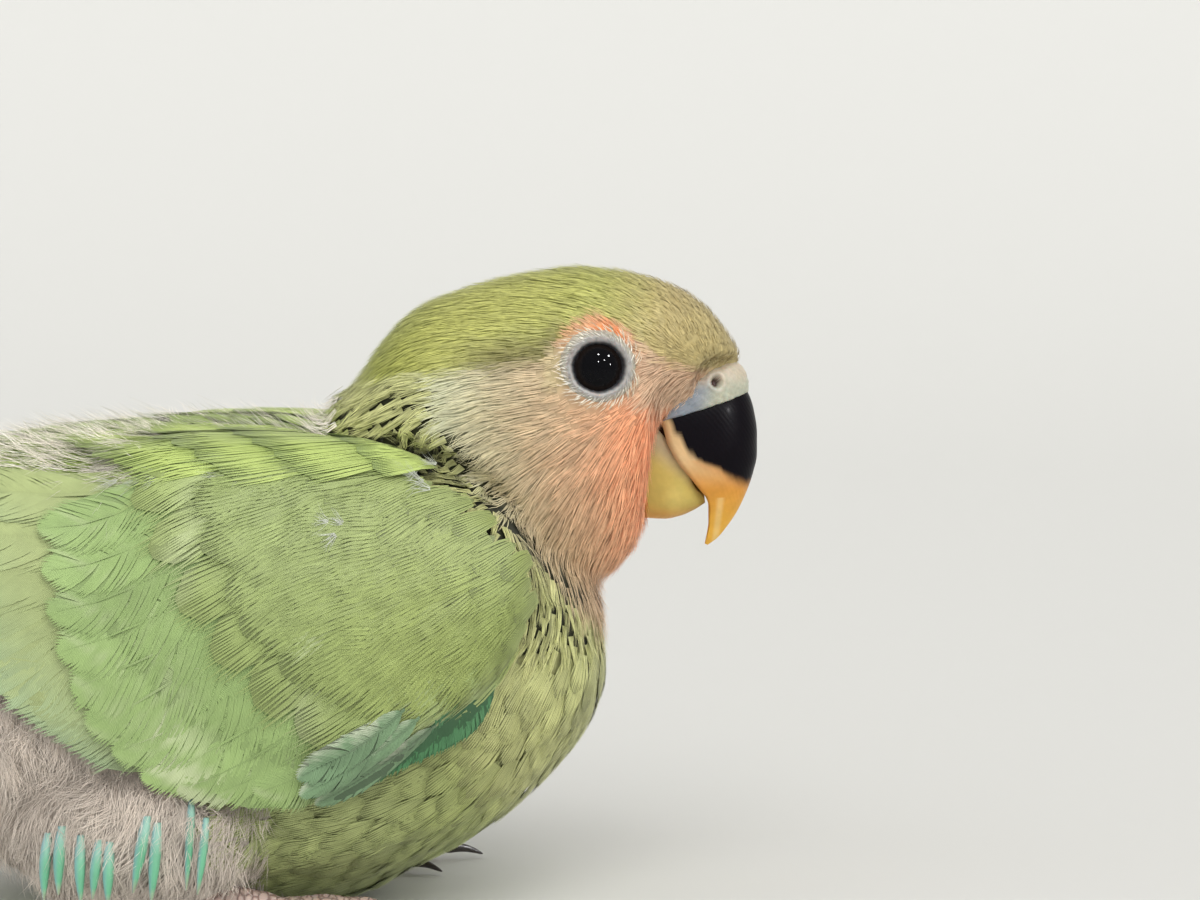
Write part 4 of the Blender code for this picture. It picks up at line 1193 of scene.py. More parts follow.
PRIMARIES, SECONDARIES, GREATER = 9, 10, 11
order = np.linspace(0, 1, PRIMARIES)
add_wing_feathers(
    flight, along_line([(20, 28.0), (10, 36)], order),
    along_line([(-40, 37.2), (-46, 38.2), (-38, 40.2), (-27, 42)], order), 5.6, (0.5, 0.5), rng,
    lambda u, v, plan: blend_colours("web_dark", "primary", smoothstep(-u, -0.3, 0.2)), bow=-1.6, pitch=2.4)
order = np.linspace(0, 1, SECONDARIES)
add_wing_feathers(
    flight, along_line([(17, 25), (12, 43)], order),
    along_line([(-4.5, 21.8), (-12, 27.6), (-21, 33.4), (-26, 38.4), (-24, 43.2)], order), 7.4, (0.95, 1.15), rng,
    lambda u, v, plan: blend_colours("secondary", "blue_grey",
                                     smoothstep(v, 0.45, 0.95) * smoothstep(-u, -0.2, 0.9)),
    bow=-1.0, pitch=3.0, shingle=0.12, dark=0.86)
order = np.linspace(0, 1, GREATER)
add_wing_feathers(
    covert, along_line([(27.5, 24), (20, 33), (14, 43.5)], order),
    along_line([(14, 15.2), (4.5, 15.6), (-1.5, 21), (-5, 30), (-6.5, 39)], order), 6.8, (1.55, 1.85), rng,
    lambda u, v, plan: blend_colours("greater", "sheen", 0.8 * smoothstep(v, 0.45, 0.85)
                                     * smoothstep(ripple(plan[..., 0] * 0.35 + 1.7 * u, 14), -0.2, 0.9)),
    bow=-0.8, pitch=3.0, shingle=0.10, tone_spread=0.04, dark=0.88)

# %% [markdown]
# Along the wing's lower front edge lie the coverts of the primaries and the little thumb feathers. They are
# green above and teal along the very edge, and two or three of them are still grey with pale rims.

# %% Primary coverts and thumb feathers
LOWER_EDGE = np.array([
    (14.0, 14.6), (18.0, 13.6), (22.2, 14.4), (27.0, 17.0), (31.2, 19.6), (37.0, 23.8), (39.8, 27.0),
])


def edge_teal(plan):
    """Share of teal near the lower front edge of the wing."""
    z = on_guide(plan, np.zeros(plan.shape[:-1]))[..., 2]
    return 1 - smoothstep(z - line_height(LOWER_EDGE, plan[..., 0]), 2.4, 5.2)


order = np.linspace(0, 1, 8)
add_wing_feathers(
    covert, along_line([(37.0, 28.4), (30.0, 29.5)], order),
    along_line([(31.5, 19.6), (27.5, 17.4), (23.0, 15.4), (19.0, 15.0)], order), 4.2, (1.75, 2.05), rng,
    lambda u, v, plan: blend_colours("greater", "teal", edge_teal(plan)),
    bow=-0.5, pitch=1.8, dark=0.6, shingle=0.26)
add_wing_feathers(
    covert, np.array([(31.0, 21.6), (29.4, 22.6), (28.0, 23.4)]),
    np.array([(19.8, 14.2), (18.4, 15.4), (18.2, 17.0)]), 2.8, (2.35, 2.7), rng,
    lambda u, v, plan: blend_colours("grey_green", "edge_pale",
                                     smoothstep(u + 0.5 * ripple(v * 9 + u, 15), 0.1, 0.9)),
    bow=-0.3, pitch=2.0, barbs=24, cover=0.72, dark=0.52, splits=3)

# %% Median coverts and the feathers of the shoulder blade
MEDIAN_ROWS = [
    (np.array([(25.5, 20.4), (21.5, 19.6), (17.4, 21.0), (13.2, 24.0), (9.6, 27.8), (6.4, 32.0), (3.8, 36.2),
               (1.8, 40.2)]), 11.0, 6.0, (1.95, 2.15)),
    (np.array([(31.0, 23.4), (27.2, 23.2), (23.4, 23.8), (19.6, 25.6), (16.0, 28.8), (12.8, 32.4), (10.0, 36.4),
               (8.0, 40.2)]), 9.5, 5.2, (2.05, 2.30)),
]
for tips, length, width, lifts in MEDIAN_ROWS:
    slope = wing_slope(tips) + rng.normal(0, 0.05, len(tips))
    add_wing_feathers(
        covert, tips + length * np.stack([np.cos(slope), np.sin(slope)], -1), tips, width, lifts, rng,
        lambda u, v, plan: blend_colours("median", "sheen",
                                         0.45 * smoothstep(ripple(plan[..., 0] * 0.5 + 3 * v, 8), 0.1, 0.9)),
        barbs=12, bends=3, cover=0.86, dark=0.72, shingle=0.10)

SCAPULAR_ROWS = [
    ([(16, 44.4), (10, 47.3)], [(1.5, 43.2), (-4, 45.2), (-8, 48.0)], 5, 5.6, (1.9, 2.2)),
    ([(22, 43.9), (17, 47.6)], [(9.5, 42.8), (4, 45.2), (0, 47.8)], 5, 5.4, (2.1, 2.4)),
    ([(27.5, 43.8), (23, 47.4)], [(17, 42.6), (12, 45.0), (8, 47.6)], 5, 4.8, (2.3, 2.6)),
    ([(31, 43.2), (28, 46.0)], [(24, 42.7), (19.5, 46.6)], 4, 4.0, (2.4, 2.7)),
]
for roots_line, tips_line, count, width, lifts in SCAPULAR_ROWS:
    order = np.linspace(0, 1, count)
    add_wing_feathers(
        covert, along_line(roots_line, order), along_line(tips_line, order), width, lifts, rng,
        lambda u, v, plan: blend_colours("scapular", "greater", 0.6 * smoothstep(v, 0.6, 1.0)), barbs=9, bends=3,
        cover=0.76, dark=0.62, shingle=0.18)

# %% Lesser coverts
LESSER_SPACING = 1.7
LESSER_LINE = np.array([
    (39.0, 27.0), (33.0, 25.5), (28.0, 26.0), (24.0, 27.6), (20.8, 30.0), (17.6, 34.0), (15.4, 38.0),
    (13.6, 42.6),
])


def lesser_covert_roots(rng):
    """Places for the small feathers of the shoulder, in staggered rows over the lens of the wing."""
    x, z = np.meshgrid(np.arange(12.0, 43.0, LESSER_SPACING), np.arange(17.0, 49.0, LESSER_SPACING), indexing="ij")
    z = z + (np.arange(x.shape[0]) % 2)[:, None] * (LESSER_SPACING / 2)
    places = np.stack([x.ravel(), z.ravel()], -1) + rng.uniform(-0.35, 0.35, (x.size, 2))
    rear_line = np.interp(places[:, 0], LESSER_LINE[::-1, 0], LESSER_LINE[::-1, 1], left=50)
    front_gap = 0.4 + 1.8 * smoothstep(places[:, 1], 32, 38)
    return places[(places[:, 1] > rear_line + 1.0) & (places[:, 1] < 44.6) & (from_wing_front(places) > front_gap)]


lesser_roots = lesser_covert_roots(rng)
slope = wing_slope(lesser_roots) + rng.normal(0, 0.16, len(lesser_roots))
from_front = from_wing_front(lesser_roots)
size = 4.2 + 3.0 * smoothstep(from_front, 0.5, 9.0)
lesser_tips = lesser_roots - size[:, None] * np.stack([np.cos(slope), np.sin(slope)], -1)
add_wing_feathers(
    covert, lesser_roots, lesser_tips, size * 0.62, (2.05, 2.35), rng,
    lambda u, v, plan: blend_colours("shoulder", "median", smoothstep(-plan[..., 0], -34, -14)), barbs=6, bends=3,
    cover=0.66, dark=0.64, splits=0, shingle=0.05, tone_spread=0.04)
print("lesser coverts on each wing:", len(lesser_roots))

# %% [markdown]
# Wisps of white down still cling between the coverts of the shoulder, and a grey line of it shows where the
# feathers of the shoulder blade overhang the wing.

# %% Wisps of down on the wing
def backwards(points, normals):
    """A lie that points back and a little down everywhere."""
    return np.tile((-1.0, 0.0, -0.15), (len(points), 1))


wisp_coat = Coat("wing_down_wisps")
gap_x = np.sort(rng.uniform(0.0, 19.0, 11))
WISPS = [(np.array([(30.6, 42.3), (29.6, 41.2), (30.2, 40.6), (29.0, 42.2)]), 2.0, (3.0, 3.7), 0.35),
         (np.array([(21.8, 37.8), (22.4, 38.6), (21.2, 38.8)]), 1.8, (3.0, 3.6), 0.35),
         (np.stack([gap_x, 42.7 - 0.02 * gap_x + rng.uniform(-0.4, 0.4, 11)], -1), 2.4, (2.6, 3.0), 0.12)]
for side_places, length, lifts, fan in WISPS:
    for hand in (1, -1):
        roots = on_guide(plan_of(side_places), np.full(len(side_places), 1.0)) * np.array([1, hand, 1])
        add_tufts(wisp_coat, roots, backwards, rng, length, 0.045, blades=16, steps=3, fan=fan, lift=lifts,
                  shade=0.10, curl=0.4, colour=np.array((0.52, 0.55, 0.46)), spread=9.0, turn=0.5)
wisp_coat.build(SOFT_PLUMAGE, "plumage_grey")

# %% Build the coats of the wings
for coats in (flight, covert):
    for coat, node_name in zip(coats, ("wing_right", "wing_left")):
        coat.build(VANE_PLUMAGE, "flight_feather", node_name)

# %% [markdown]
# ## The tail
# The tail is short and slightly wedge-shaped, made of six pairs of feathers. The middle pair lies on top. Each
# feather runs straight from its root to its tip, and falls away a little from the middle line. Two rings of
# tail coverts, set all round the rump, cover the roots.

# %% Tail
TAIL_PAIRS, TAIL_WIDTH = 6, 6.2
TAIL_ROOT, TAIL_TIP = (-34.0, 32.6), (-62.6, 30.6)
TAIL_COVERT_RINGS, TAIL_COVERTS = ((-31.0, -45.5), (-28.5, -41.5)), 15


def add_straight_feather(coat, root, tip, half_width, barbs, outward, paint, rng):
    """A feather straight from root to tip, whose upper face looks along outward and sags at its sides."""
    length = np.array([np.linalg.norm(tip - root)])
    across, along, height, tone, faces = barbed_shape(
        length, np.array([half_width]), barbs, rng, straight=0.6, shoulder=0.8, slant=0.12, bends=4, cover=0.82,
        splits=2)
    ahead = unit(tip - root)
    sideways = unit(np.cross(ahead, outward))
    above = np.cross(sideways, ahead)
    sag = 0.1 * (across / half_width) ** 2 * half_width / 3.1
    points = root + ahead * along[..., None] + sideways * across[..., None] + above * (height - sag)[..., None]
    v = along / length
    # The sheet, at tone 0, keeps half the colour, as painted shade between the barbs.
    colours = paint(v) * (0.5 + 0.6 * tone)[..., None]
    own = own_places(across, along, rng)
    coat.add(points, faces, colours, patch_uv(root[None], across / half_width * 0.9, 2 * v - 1), own)


def tail_colours(v, pair):
    """Green, with an orange and a black band on all but the middle pair."""
    green = mix((0.25, 0.40, 0.12), (0.12, 0.33, 0.20), smoothstep(v, 0.55, 0.95))
    band = smoothstep(v, 0.62, 0.68) * (1 - smoothstep(v, 0.78, 0.84)) * (pair > 0)
    orange = smoothstep(v, 0.34, 0.42) * (1 - smoothstep(v, 0.56, 0.62)) * (pair > 0)
    return mix(mix(green, (0.62, 0.22, 0.05), orange), (0.03, 0.04, 0.03), band)


tail_coat = Coat("tail_feathers")
rng = np.random.default_rng(31)
for pair in range(TAIL_PAIRS - 1, -1, -1):
    share = (pair + 0.5) / TAIL_PAIRS
    for hand in (-1, 1):
        fall = 0.55 * share
        root = np.array([TAIL_ROOT[0], hand * 3.4 * share, TAIL_ROOT[1] + 0.4 - 0.45 * pair - fall])
        tip = np.array([TAIL_TIP[0] + 1.5 * pair, hand * 7.2 * share,
                        TAIL_TIP[1] - 0.62 * pair - 0.2 * (hand > 0) - 2 * fall])
        add_straight_feather(tail_coat, root, tip, TAIL_WIDTH / 2, 64, np.array([0.0, hand * 0.16, 1.0]),
                             lambda v: tail_colours(v, pair), rng)
for row, (start_x, reach_x) in enumerate(TAIL_COVERT_RINGS):
    for turn in (np.arange(TAIL_COVERTS) + 0.5 * row) * 2 * np.pi / TAIL_COVERTS:
        outward = np.array([0.0, math.cos(turn), math.sin(turn)])
        root = drop((np.array([start_x, 0, 31.5]) + 14.0 * outward)[None])[0][0]
        tip = np.array([reach_x + rng.uniform(-1, 1), (4.9 + row) * outward[1],
                        30.4 + (2.6 + 0.6 * row) * outward[2]])
        covert_colour = mix(COLOURS["belly"], COLOURS["rump"], smoothstep(outward[2], -0.2, 0.5))
        add_straight_feather(tail_coat, root + 0.2 * outward, tip, 2.5, 26, outward,
                             lambda v: covert_colour * np.ones((*v.shape, 1)), rng)
tail_coat.build(VANE_PLUMAGE, "flight_feather", "tail")

# %% [markdown]
# ## Body feathers
# The trunk is clothed in small combed feathers. A young bird still shows grey down at the flank and thigh, so
# there the feathers end and soft tufts take over.

# %% Body feathers
LOWEST_ROOT = 0.6


def down_share(points):
    """1 where the flank and thigh are still in down, 0 where the body is feathered."""
    x, y, z = points[:, 0], np.abs(points[:, 1]), points[:, 2]
    flank = 1 - smoothstep(z - 0.22 * x, 25, 31)
    front = x + 2.2 * ripple(z * 0.8 + y * 0.3, 17)
    return flank * (1 - smoothstep(front, 10, 17)) * smoothstep(y + 0.3 * x, 1.0, 6.0) * smoothstep(x, -34, -26)


def feathered_trunk(points, normals):
    """True on the trunk, off the wing, the tail root, the neck and the down."""
    trunk = ~in_head(points) & (under_wing(points) < 0.25) & (points[:, 2] > LOWEST_ROOT)
    return trunk & (points[:, 0] > -30) & (down_share(points) < 0.5) & ~in_neck(points)


rng = np.random.default_rng(41)
body_roots, _ = scatter(feathered_trunk, 1.7, 3)
on_top = body_roots[:, 2] > 36
body_coat = Coat("body_feathers")
add_barbed(body_coat, body_roots[~on_top], lie, rng, 5.0, 3.2, 6, lift=(0.35, 0.85), camber=0.06)
body_coat.build(VANE_PLUMAGE, "plumage_green")
back_coat = Coat("back_feathers")
add_barbed(back_coat, body_roots[on_top], lie, rng, 6.0, 3.6, 6, lift=(0.6, 2.0), camber=0.08)
back_coat.build(VANE_PLUMAGE, "plumage_green")
print("body feathers", len(body_roots))

# %% [markdown]
# On the side of the neck the feathers are still short, and stand in separate pointed clumps with dark gaps
# between them. So the skin there is painted near black, for the dark bases of the feathers and the shade in the
# gaps, and the clumps are gathered tufts set wider apart than their width.

# %% Neck clumps
neck_coat = Coat("neck_feathers")
neck_roots, _ = scatter(lambda p, n: ~in_head(p) & in_neck(p), 0.84, 4)
add_tufts(neck_coat, neck_roots, lie, rng, 2.7, 0.10, blades=12, steps=3, fan=0.03, lift=(0.2, 1.1), shade=0.28,
          gather=0.75, spread=6.5, turn=0.18, tuft_shade=0.12, pale_tip=0.3)
neck_coat.build(SOFT_PLUMAGE, "plumage_head")
print("neck clumps", len(neck_roots))

# %% Down of the flank and thigh
def hanging(points, normals):
    """A lie that hangs down, and back on the front of the flank."""
    x = points[:, 0]
    return np.stack([-0.75 + 0.03 * (20 - x), np.zeros_like(x), np.full_like(x, -0.9)], -1)


down_coat = Coat("flank_down")
down_roots, _ = scatter(lambda p, n: (p[:, 2] > LOWEST_ROOT) & ~in_head(p) & (down_share(p) > 0.3), 1.0, 5)
clump_turn = 0.75 * ripple(down_roots[:, 0] * 0.55 + down_roots[:, 2] * 0.45, 12)
clump_turn = clump_turn + rng.normal(0, 0.22, len(down_roots))
down_tone = COLOURS["down"] * (1.08 + 0.20 * ripple(down_roots[:, 0] * 0.3 - down_roots[:, 2] * 0.4, 13))[:, None]
add_tufts(down_coat, down_roots, turned(hanging, clump_turn), rng, 4.2, 0.06, blades=16, steps=4, fan=0.12,
          lift=(0.3, 2.3), shade=0.10, curl=0.32, colour=down_tone, spread=17.0, gather=0.45, tuft_shade=0.08,
          pale_tip=0.30)
down_coat.build(DOWN_PLUMAGE, "plumage_grey")

# %% [markdown]
# New feathers of the flank are still in their sheaths: straight teal pins, a few millimetres long, that stick
# out of the down and point to the floor. Each is a thin tapered rod with a paler frayed end.

# %% Pin feathers
def add_pins(coat, places, rng):
    """Pins from places (x, z of the top, z of the tip) on both flanks."""
    sides, rings = 8, 6
    for x, top, tip in places:
        for hand in (-1, 1):
            root, normal = drop(np.array([[x, hand * 20.0, top]]))
            start = root[0] + normal[0] * 0.7 + np.array([0.2, 0, 1.2])
            end = np.array([x - rng.uniform(0.0, 0.9), root[0, 1] + hand * 2.2, tip])
            t = np.linspace(0, 1, rings)
            middle = start + (end - start) * t[:, None] + np.outer(np.sin(t * np.pi) * 0.25, normal[0])
            radius = rng.uniform(0.34, 0.50) * (0.75 + 0.5 * np.sin(np.pi * t**0.8)) * (1 - 0.7 * t**4)
            turn = np.linspace(0, 2 * np.pi, sides, endpoint=False)
            ring = middle[:, None] + radius[:, None, None] * np.stack(
                [np.cos(turn), np.sin(turn), np.zeros(sides)], -1)[None]
            colour = mix(mix((0.34, 0.60, 0.52), (0.16, 0.50, 0.30), smoothstep(t, 0.1, 0.5)), (0.62, 0.66, 0.48),
                         smoothstep(t, 0.82, 1.0))
            blue_side = smoothstep(-np.cos(turn), -0.2, 0.8)[None] * np.ones((rings, 1)) * 0.55
            colours = mix(np.repeat(colour[:, None], sides, 1), (0.26, 0.42, 0.60), blue_side)
            points = ring.reshape(1, -1, 3)
            coat.add(points, loft_faces(rings, sides)[:, ::-1], colours.reshape(1, -1, 3),
                     patch_uv(root, np.tile(np.cos(turn), rings)[None], np.repeat(2 * t - 1, sides)[None]))


pin_coat = Coat("pin_feathers")
add_pins(pin_coat, [(-5.6, 9.6, 4.6), (-4.1, 10.2, 5.2), (-2.1, 9.6, 4.4), (-0.6, 9.4, 5.0), (0.4, 9.2, 4.4),
                    (3.6, 11.2, 5.6), (4.6, 10.6, 4.6), (7.7, 12.8, 5.6), (9.0, 11.0, 5.2)],
         np.random.default_rng(61))
pin_coat.build(VANE_PLUMAGE, "flight_feather")

# %% Cream down on the back
back_down = Coat("back_down")
back_roots, _ = scatter(
    lambda p, n: (p[:, 0] > -34) & (p[:, 0] < 22) & (np.abs(p[:, 1]) < 9) & (p[:, 2] > 42), 1.5, 6)
side_roots, _ = scatter(
    lambda p, n: (p[:, 0] > -18) & (p[:, 0] < 6) & (np.abs(p[:, 1]) > 4) & (p[:, 2] > 43.5), 1.1, 7)
add_tufts(back_down, side_roots, lie, rng, 5.0, 0.07, blades=9, steps=4, fan=0.16, lift=(1.2, 3.3), shade=0.2,
          curl=0.25, colour=COLOURS["down_cream"], spread=9.0, turn=0.35)
add_tufts(back_down, back_roots, lie, rng, 5.0, 0.08, blades=8, steps=4, fan=0.16, lift=(0.8, 3.0), shade=0.2,
          curl=0.2, colour=COLOURS["down_cream"], spread=9.0, turn=0.35)
back_down.build(DOWN_PLUMAGE, "plumage_grey")

# %% [markdown]
# ## The bill
# The upper half is a deep hooked horn shell, black over most of its side and orange along the cutting edge
# and tip. The lower half is a shallow scoop tucked under it, and a pale swollen cere with the nostrils joins
# the bill to the face. Each is lofted through sections that are given by a ridge point, an edge point and a
# half width, drawn through by smooth curves and divided finely enough to carry the colours.

# %% Bill sections
UPPER_BILL = np.array([
    (59.4, 53.0, 50.2, 50.4, 4.20), (61.9, 51.4, 53.1, 48.9, 4.78), (62.6, 49.4, 53.9, 46.5, 4.95),
    (62.9, 47.2, 54.9, 44.7, 4.85), (62.9, 45.2, 56.1, 43.2, 4.40), (62.5, 43.2, 57.1, 41.9, 3.75),
    (61.8, 41.2, 57.8, 40.9, 2.95), (60.9, 39.3, 58.1, 39.6, 2.15), (59.9, 37.8, 58.1, 38.2, 1.40),
    (58.9, 36.6, 57.9, 36.9, 0.75), (58.0, 35.95, 57.7, 36.1, 0.22),
])
LOWER_BILL = np.array([
    (46.0, 40.2, 46.5, 47.8, 4.0), (49.4, 39.4, 50.4, 48.7, 4.35), (51.6, 38.7, 52.7, 48.1, 4.50),
    (53.6, 38.6, 54.3, 46.2, 4.35), (55.2, 38.9, 55.8, 44.1, 3.80), (56.6, 39.5, 56.6, 42.2, 2.90),
    (57.7, 40.2, 57.6, 41.1, 1.60),
])
CERE = np.array([
    (61.7, 51.3, 53.3, 48.8, 4.75), (62.0, 51.5, 53.5, 49.0, 4.98), (62.05, 52.2, 53.9, 49.8, 5.06),
    (61.8, 53.2, 54.9, 51.2, 4.92), (61.0, 54.2, 56.5, 52.9, 4.25), (59.8, 54.8, 57.6, 53.8, 2.90),
])
NOSTRIL = np.array([58.7, -4.62, 52.75])


def bill_rings(table, count, sides, power, hollow):
    """Rings of points through the sections: round the outside, then back across the hollow inside."""
    at = np.linspace(0, len(table) - 1, count)
    rows = through_table(np.column_stack([np.arange(len(table)), table]), at)
    ridge, edge, half = rows[:, 0:2], rows[:, 2:4], rows[:, 4]
    angle = np.linspace(-np.pi / 2, np.pi / 2, sides)
    rise = np.cos(angle) ** power
    rise[[0, -1]] = 0.0
    outer = edge[:, None] + (ridge - edge)[:, None] * rise[None, :, None]
    back = np.linspace(1, -1, sides // 3 + 2)[1:-1]
    inner = edge[:, None] + (ridge - edge)[:, None] * (hollow * (1 - back**2))[None, :, None]
    side = np.concatenate([np.sin(angle), back * 0.93])
    profile = np.concatenate([outer, inner], axis=1)
    return np.stack([profile[..., 0], half[:, None] * side[None], profile[..., 1]], -1)


def loft_piece(name, rings):
    """A closed piece through rings of points."""
    piece = mesh_from_arrays(name, rings.reshape(-1, 3), loft_faces(rings.shape[0], rings.shape[1]))
    return face_outwards(piece)


# %% Upper half
upper = loft_piece("bill_upper_horn", bill_rings(UPPER_BILL, 92, 66, 0.85, 0.45))
points, _ = read_vertices(upper.data)
x, z = points[:, 0], points[:, 2]
BLACK_EDGE = np.array([
    (53.6, 49.6), (54.4, 48.3), (55.1, 47.2), (55.9, 46.0), (56.5, 45.2), (57.8, 44.6), (59.1, 44.0),
    (59.9, 43.4), (60.7, 42.8), (61.7, 42.3), (63.2, 42.4),
])
above_edge = z - line_height(BLACK_EDGE, x)
streaks = 0.10 * ripple(x + 0.4 * z, 5, 3.2) * smoothstep(x, 56.5, 58.5)
softness = 0.32 + 0.40 * smoothstep(x, 58.0, 61.5)
black = smoothstep((above_edge + streaks) / softness, -1.0, 1.0)
orange = mix((0.68, 0.30, 0.06), (0.80, 0.44, 0.07), smoothstep(44 - z, 1, 7))
tan = mix(orange, (0.66, 0.46, 0.24), smoothstep(z, 41.5, 45.5))
# A painted highlight: a pale horn line along the ridge near the tip.
ridge = 0.5 * smoothstep(-np.abs(x - 58.9 - 0.1 * (z - 38)), -0.5, -0.1) * (z < 41)
horn = mix(tan, (0.86, 0.66, 0.30), ridge)
horn = mix(horn, (0.52, 0.24, 0.08), 0.5 * smoothstep(above_edge + streaks, -1.1, -0.2) * (z < 45))
write_fields(upper, mix(horn, (0.004, 0.003, 0.005), black), unwrap(points))


def horn_material(name, roughness, coat):
    """Horn: the stored colour with faint growth lines, a little glow below the surface and a waxy gloss."""
    material, tree, shader = new_material(name, roughness, 0.05, Coat_Weight=coat, Coat_Roughness=0.15,
                                          Subsurface_Weight=0.10, Subsurface_Scale=0.0006)
    soft = mottled_plumage(tree, 900.0, 0.16)
    tree.links.new(soft.outputs["Color"], shader.inputs["Base Color"])
    place = node(tree, "ShaderNodeTexCoord")
    rings = node(tree, "ShaderNodeTexWave", wave_type="BANDS", bands_direction="DIAGONAL", Scale=900.0,
                 Distortion=3.0, Detail=2.0)
    tree.links.new(place.outputs["Object"], rings.inputs["Vector"])
    worn = maths(tree, "MULTIPLY_ADD", soft.outputs["Height"], 0.6, rings.outputs["Fac"])
    bump(tree, shader, worn, 0.12, 0.00005)
    return material


HORN = horn_material("bill_horn", 0.34, 0.02)
finish_piece(upper, "bill_upper_horn", HORN, "bill_dark", "bill_upper")

# %% Lower half
lower = loft_piece("bill_lower_horn", bill_rings(LOWER_BILL, 44, 44, 0.85, 0.5))
points, _ = read_vertices(lower.data)
x, z = points[:, 0], points[:, 2]
yellow = mix((0.60, 0.46, 0.13), (0.66, 0.36, 0.10), smoothstep(40.6 - z, 0, 1.8))
# The top of the lower half, tucked under the upper half, is painted greyer as shade.
shade_under_upper_half = smoothstep(z + 0.7 * (x - 52), 44.5, 47.5)
lower_colour = mix(yellow, (0.50, 0.40, 0.25), shade_under_upper_half)
# A painted highlight: a pale yellow spot on the side of the lower half.
painted_highlight = 0.5 * smoothstep(-np.hypot(x - 54.6, (z - 41) * 0.7), -1.6, -0.2)
lower_colour = mix(lower_colour, (0.78, 0.62, 0.20), painted_highlight)
write_fields(lower, lower_colour, unwrap(points))
finish_piece(lower, "bill_lower_horn", HORN, "bill_pale", "bill_lower")

# %% The mouth behind the cutting edges, painted near black as the shade between the bill's halves
MOUTH = np.array([
    (46.5, 42.0, 46.0, 49.8, 3.4), (50.0, 42.4, 50.4, 49.6, 3.7), (52.6, 42.4, 53.4, 48.0, 3.7),
    (54.6, 42.0, 55.0, 45.6, 3.2), (56.4, 41.4, 56.6, 43.2, 2.2),
])
mouth = loft_piece("mouth_lining", bill_rings(MOUTH, 16, 24, 0.85, 0.0))
points, _ = read_vertices(mouth.data)
# The lining is painted near black, as the shade in the gap between the halves of the bill.
write_fields(mouth, np.tile((0.035, 0.014, 0.010), (len(points), 1)), unwrap(points))
finish_piece(mouth, "mouth_lining", HORN, "bill_dark")

# %% [markdown]
# The cere is soft skin, so it is pressed in at the nostrils rather than cut: the points of its fine mesh near
# each nostril sink into a small oval pit, and the ones just outside it rise to a rim.

# %% Cere
cere = loft_piece("cere_skin", bill_rings(CERE, 60, 84, 0.72, 0.0))
points, normals = read_vertices(cere.data)
ahead, aside, above = (np.column_stack([points[:, 0], -np.abs(points[:, 1]), points[:, 2]]) - NOSTRIL).T
away = np.hypot(ahead / 0.80, above + 0.25 * ahead) / 1.15
beside = np.abs(aside) < 2.0
pit = (1 - smoothstep(away, 0.30, 0.62)) * beside
rim = np.exp(-((away - 0.85) / 0.28) ** 2) * beside
lumps = 0.05 * ripple(points[:, 0] * 2 + points[:, 2] * 3, 9) * (1 - pit)
points = points - normals * (0.95 * pit - 0.14 * rim - lumps)[:, None]
cere.data.vertices.foreach_set("co", (points * MM).astype(np.float32).ravel())
cere.data.update()
x, z = points[:, 0], points[:, 2]
base_colour = mix((0.25, 0.285, 0.33), (0.46, 0.465, 0.36), smoothstep(x - 0.3 * (z - 50), 56.2, 58.8))
base_colour = mix(base_colour, (0.56, 0.47, 0.36), 0.8 * smoothstep(z - 0.1 * (x - 57), 51.7, 53.2))
# The nostril pits are painted near black, as the shade inside the nostrils.
write_fields(cere, mix(base_colour, (0.07, 0.03, 0.022), smoothstep(pit, 0.30, 0.85)), unwrap(points))


def bare_skin_material(name, scale, depth):
    """Bare skin: the stored colour under a fine cell pattern like crossed wrinkles, painted darker in the creases
    as shade.
    """
    material, tree, shader = new_material(name, 0.5, 0.4, Subsurface_Weight=0.2, Subsurface_Scale=0.0008)
    soft = mottled_plumage(tree, scale * 0.6, 0.22)
    place = node(tree, "ShaderNodeTexCoord")
    cells = node(tree, "ShaderNodeTexVoronoi", feature="F1", Scale=scale)
    tree.links.new(place.outputs["Object"], cells.inputs["Vector"])
    domes = maths(tree, "SUBTRACT", 1.0, cells.outputs["Distance"])
    # The creases of the cell pattern are painted darker, as shade.
    crease_shade_colour = mix_colours(tree, 1.0, soft.outputs["Color"], (0.88, 0.87, 0.86), "MULTIPLY")
    crease_shade = maths(tree, "MULTIPLY", maths(tree, "SUBTRACT", cells.outputs["Distance"], 0.45), 2.0, clamp=True)
    tree.links.new(mix_colours(tree, crease_shade, soft.outputs["Color"], crease_shade_colour), shader.inputs["Base Color"])
    bump(tree, shader, domes, 0.3, depth)
    return material


CERE_SKIN = bare_skin_material("cere_skin", 3200.0, 0.00004)
finish_piece(cere, "cere_skin", CERE_SKIN, "cere", "cere")

# %% [markdown]
# ## The eyes
# The eye is a dark brown ball, so dark that the pupil hardly shows. A lid ring of pale bare skin is turned
# round its axis, and rows of tiny white feathers stand round the ring.

# %% Eye balls and lid rings
EYE_RADIUS = 3.1
EYE_TURN, EYE_LIFT = math.radians(9), math.radians(7)
LID_PROFILE = np.array([
    (2.30, 1.85), (2.42, 2.08), (2.54, 2.34), (2.70, 2.54), (2.95, 2.64), (3.20, 2.60), (3.45, 2.42),
    (3.70, 2.00), (3.95, 1.20),
])
LID_TURNS, LID_ROWS, LID_SQUASH = 96, 34, 0.94


def eye_frame(hand):
    """The middle of an eye, and its axes in the model: across, up and out."""
    out = Vector((math.sin(EYE_TURN) * math.cos(EYE_LIFT), hand * math.cos(EYE_TURN) * math.cos(EYE_LIFT),
                  math.sin(EYE_LIFT)))
    up = (Vector((0, 0, 1)) - out * out.z).normalized()
    centre = EYE * np.array([1, hand, 1])
    return centre, np.array(up.cross(out)), np.array(up), np.array(out)


def eye_material():
    """A wet dark eye: a mirror-smooth ball in the colours stored on it."""
    material, tree, shader = new_material("dark_eye", 0.03, 0.09)
    soft = mottled_plumage(tree, 2500.0, 0.3)
    tree.links.new(soft.outputs["Color"], shader.inputs["Base Color"])
    return material


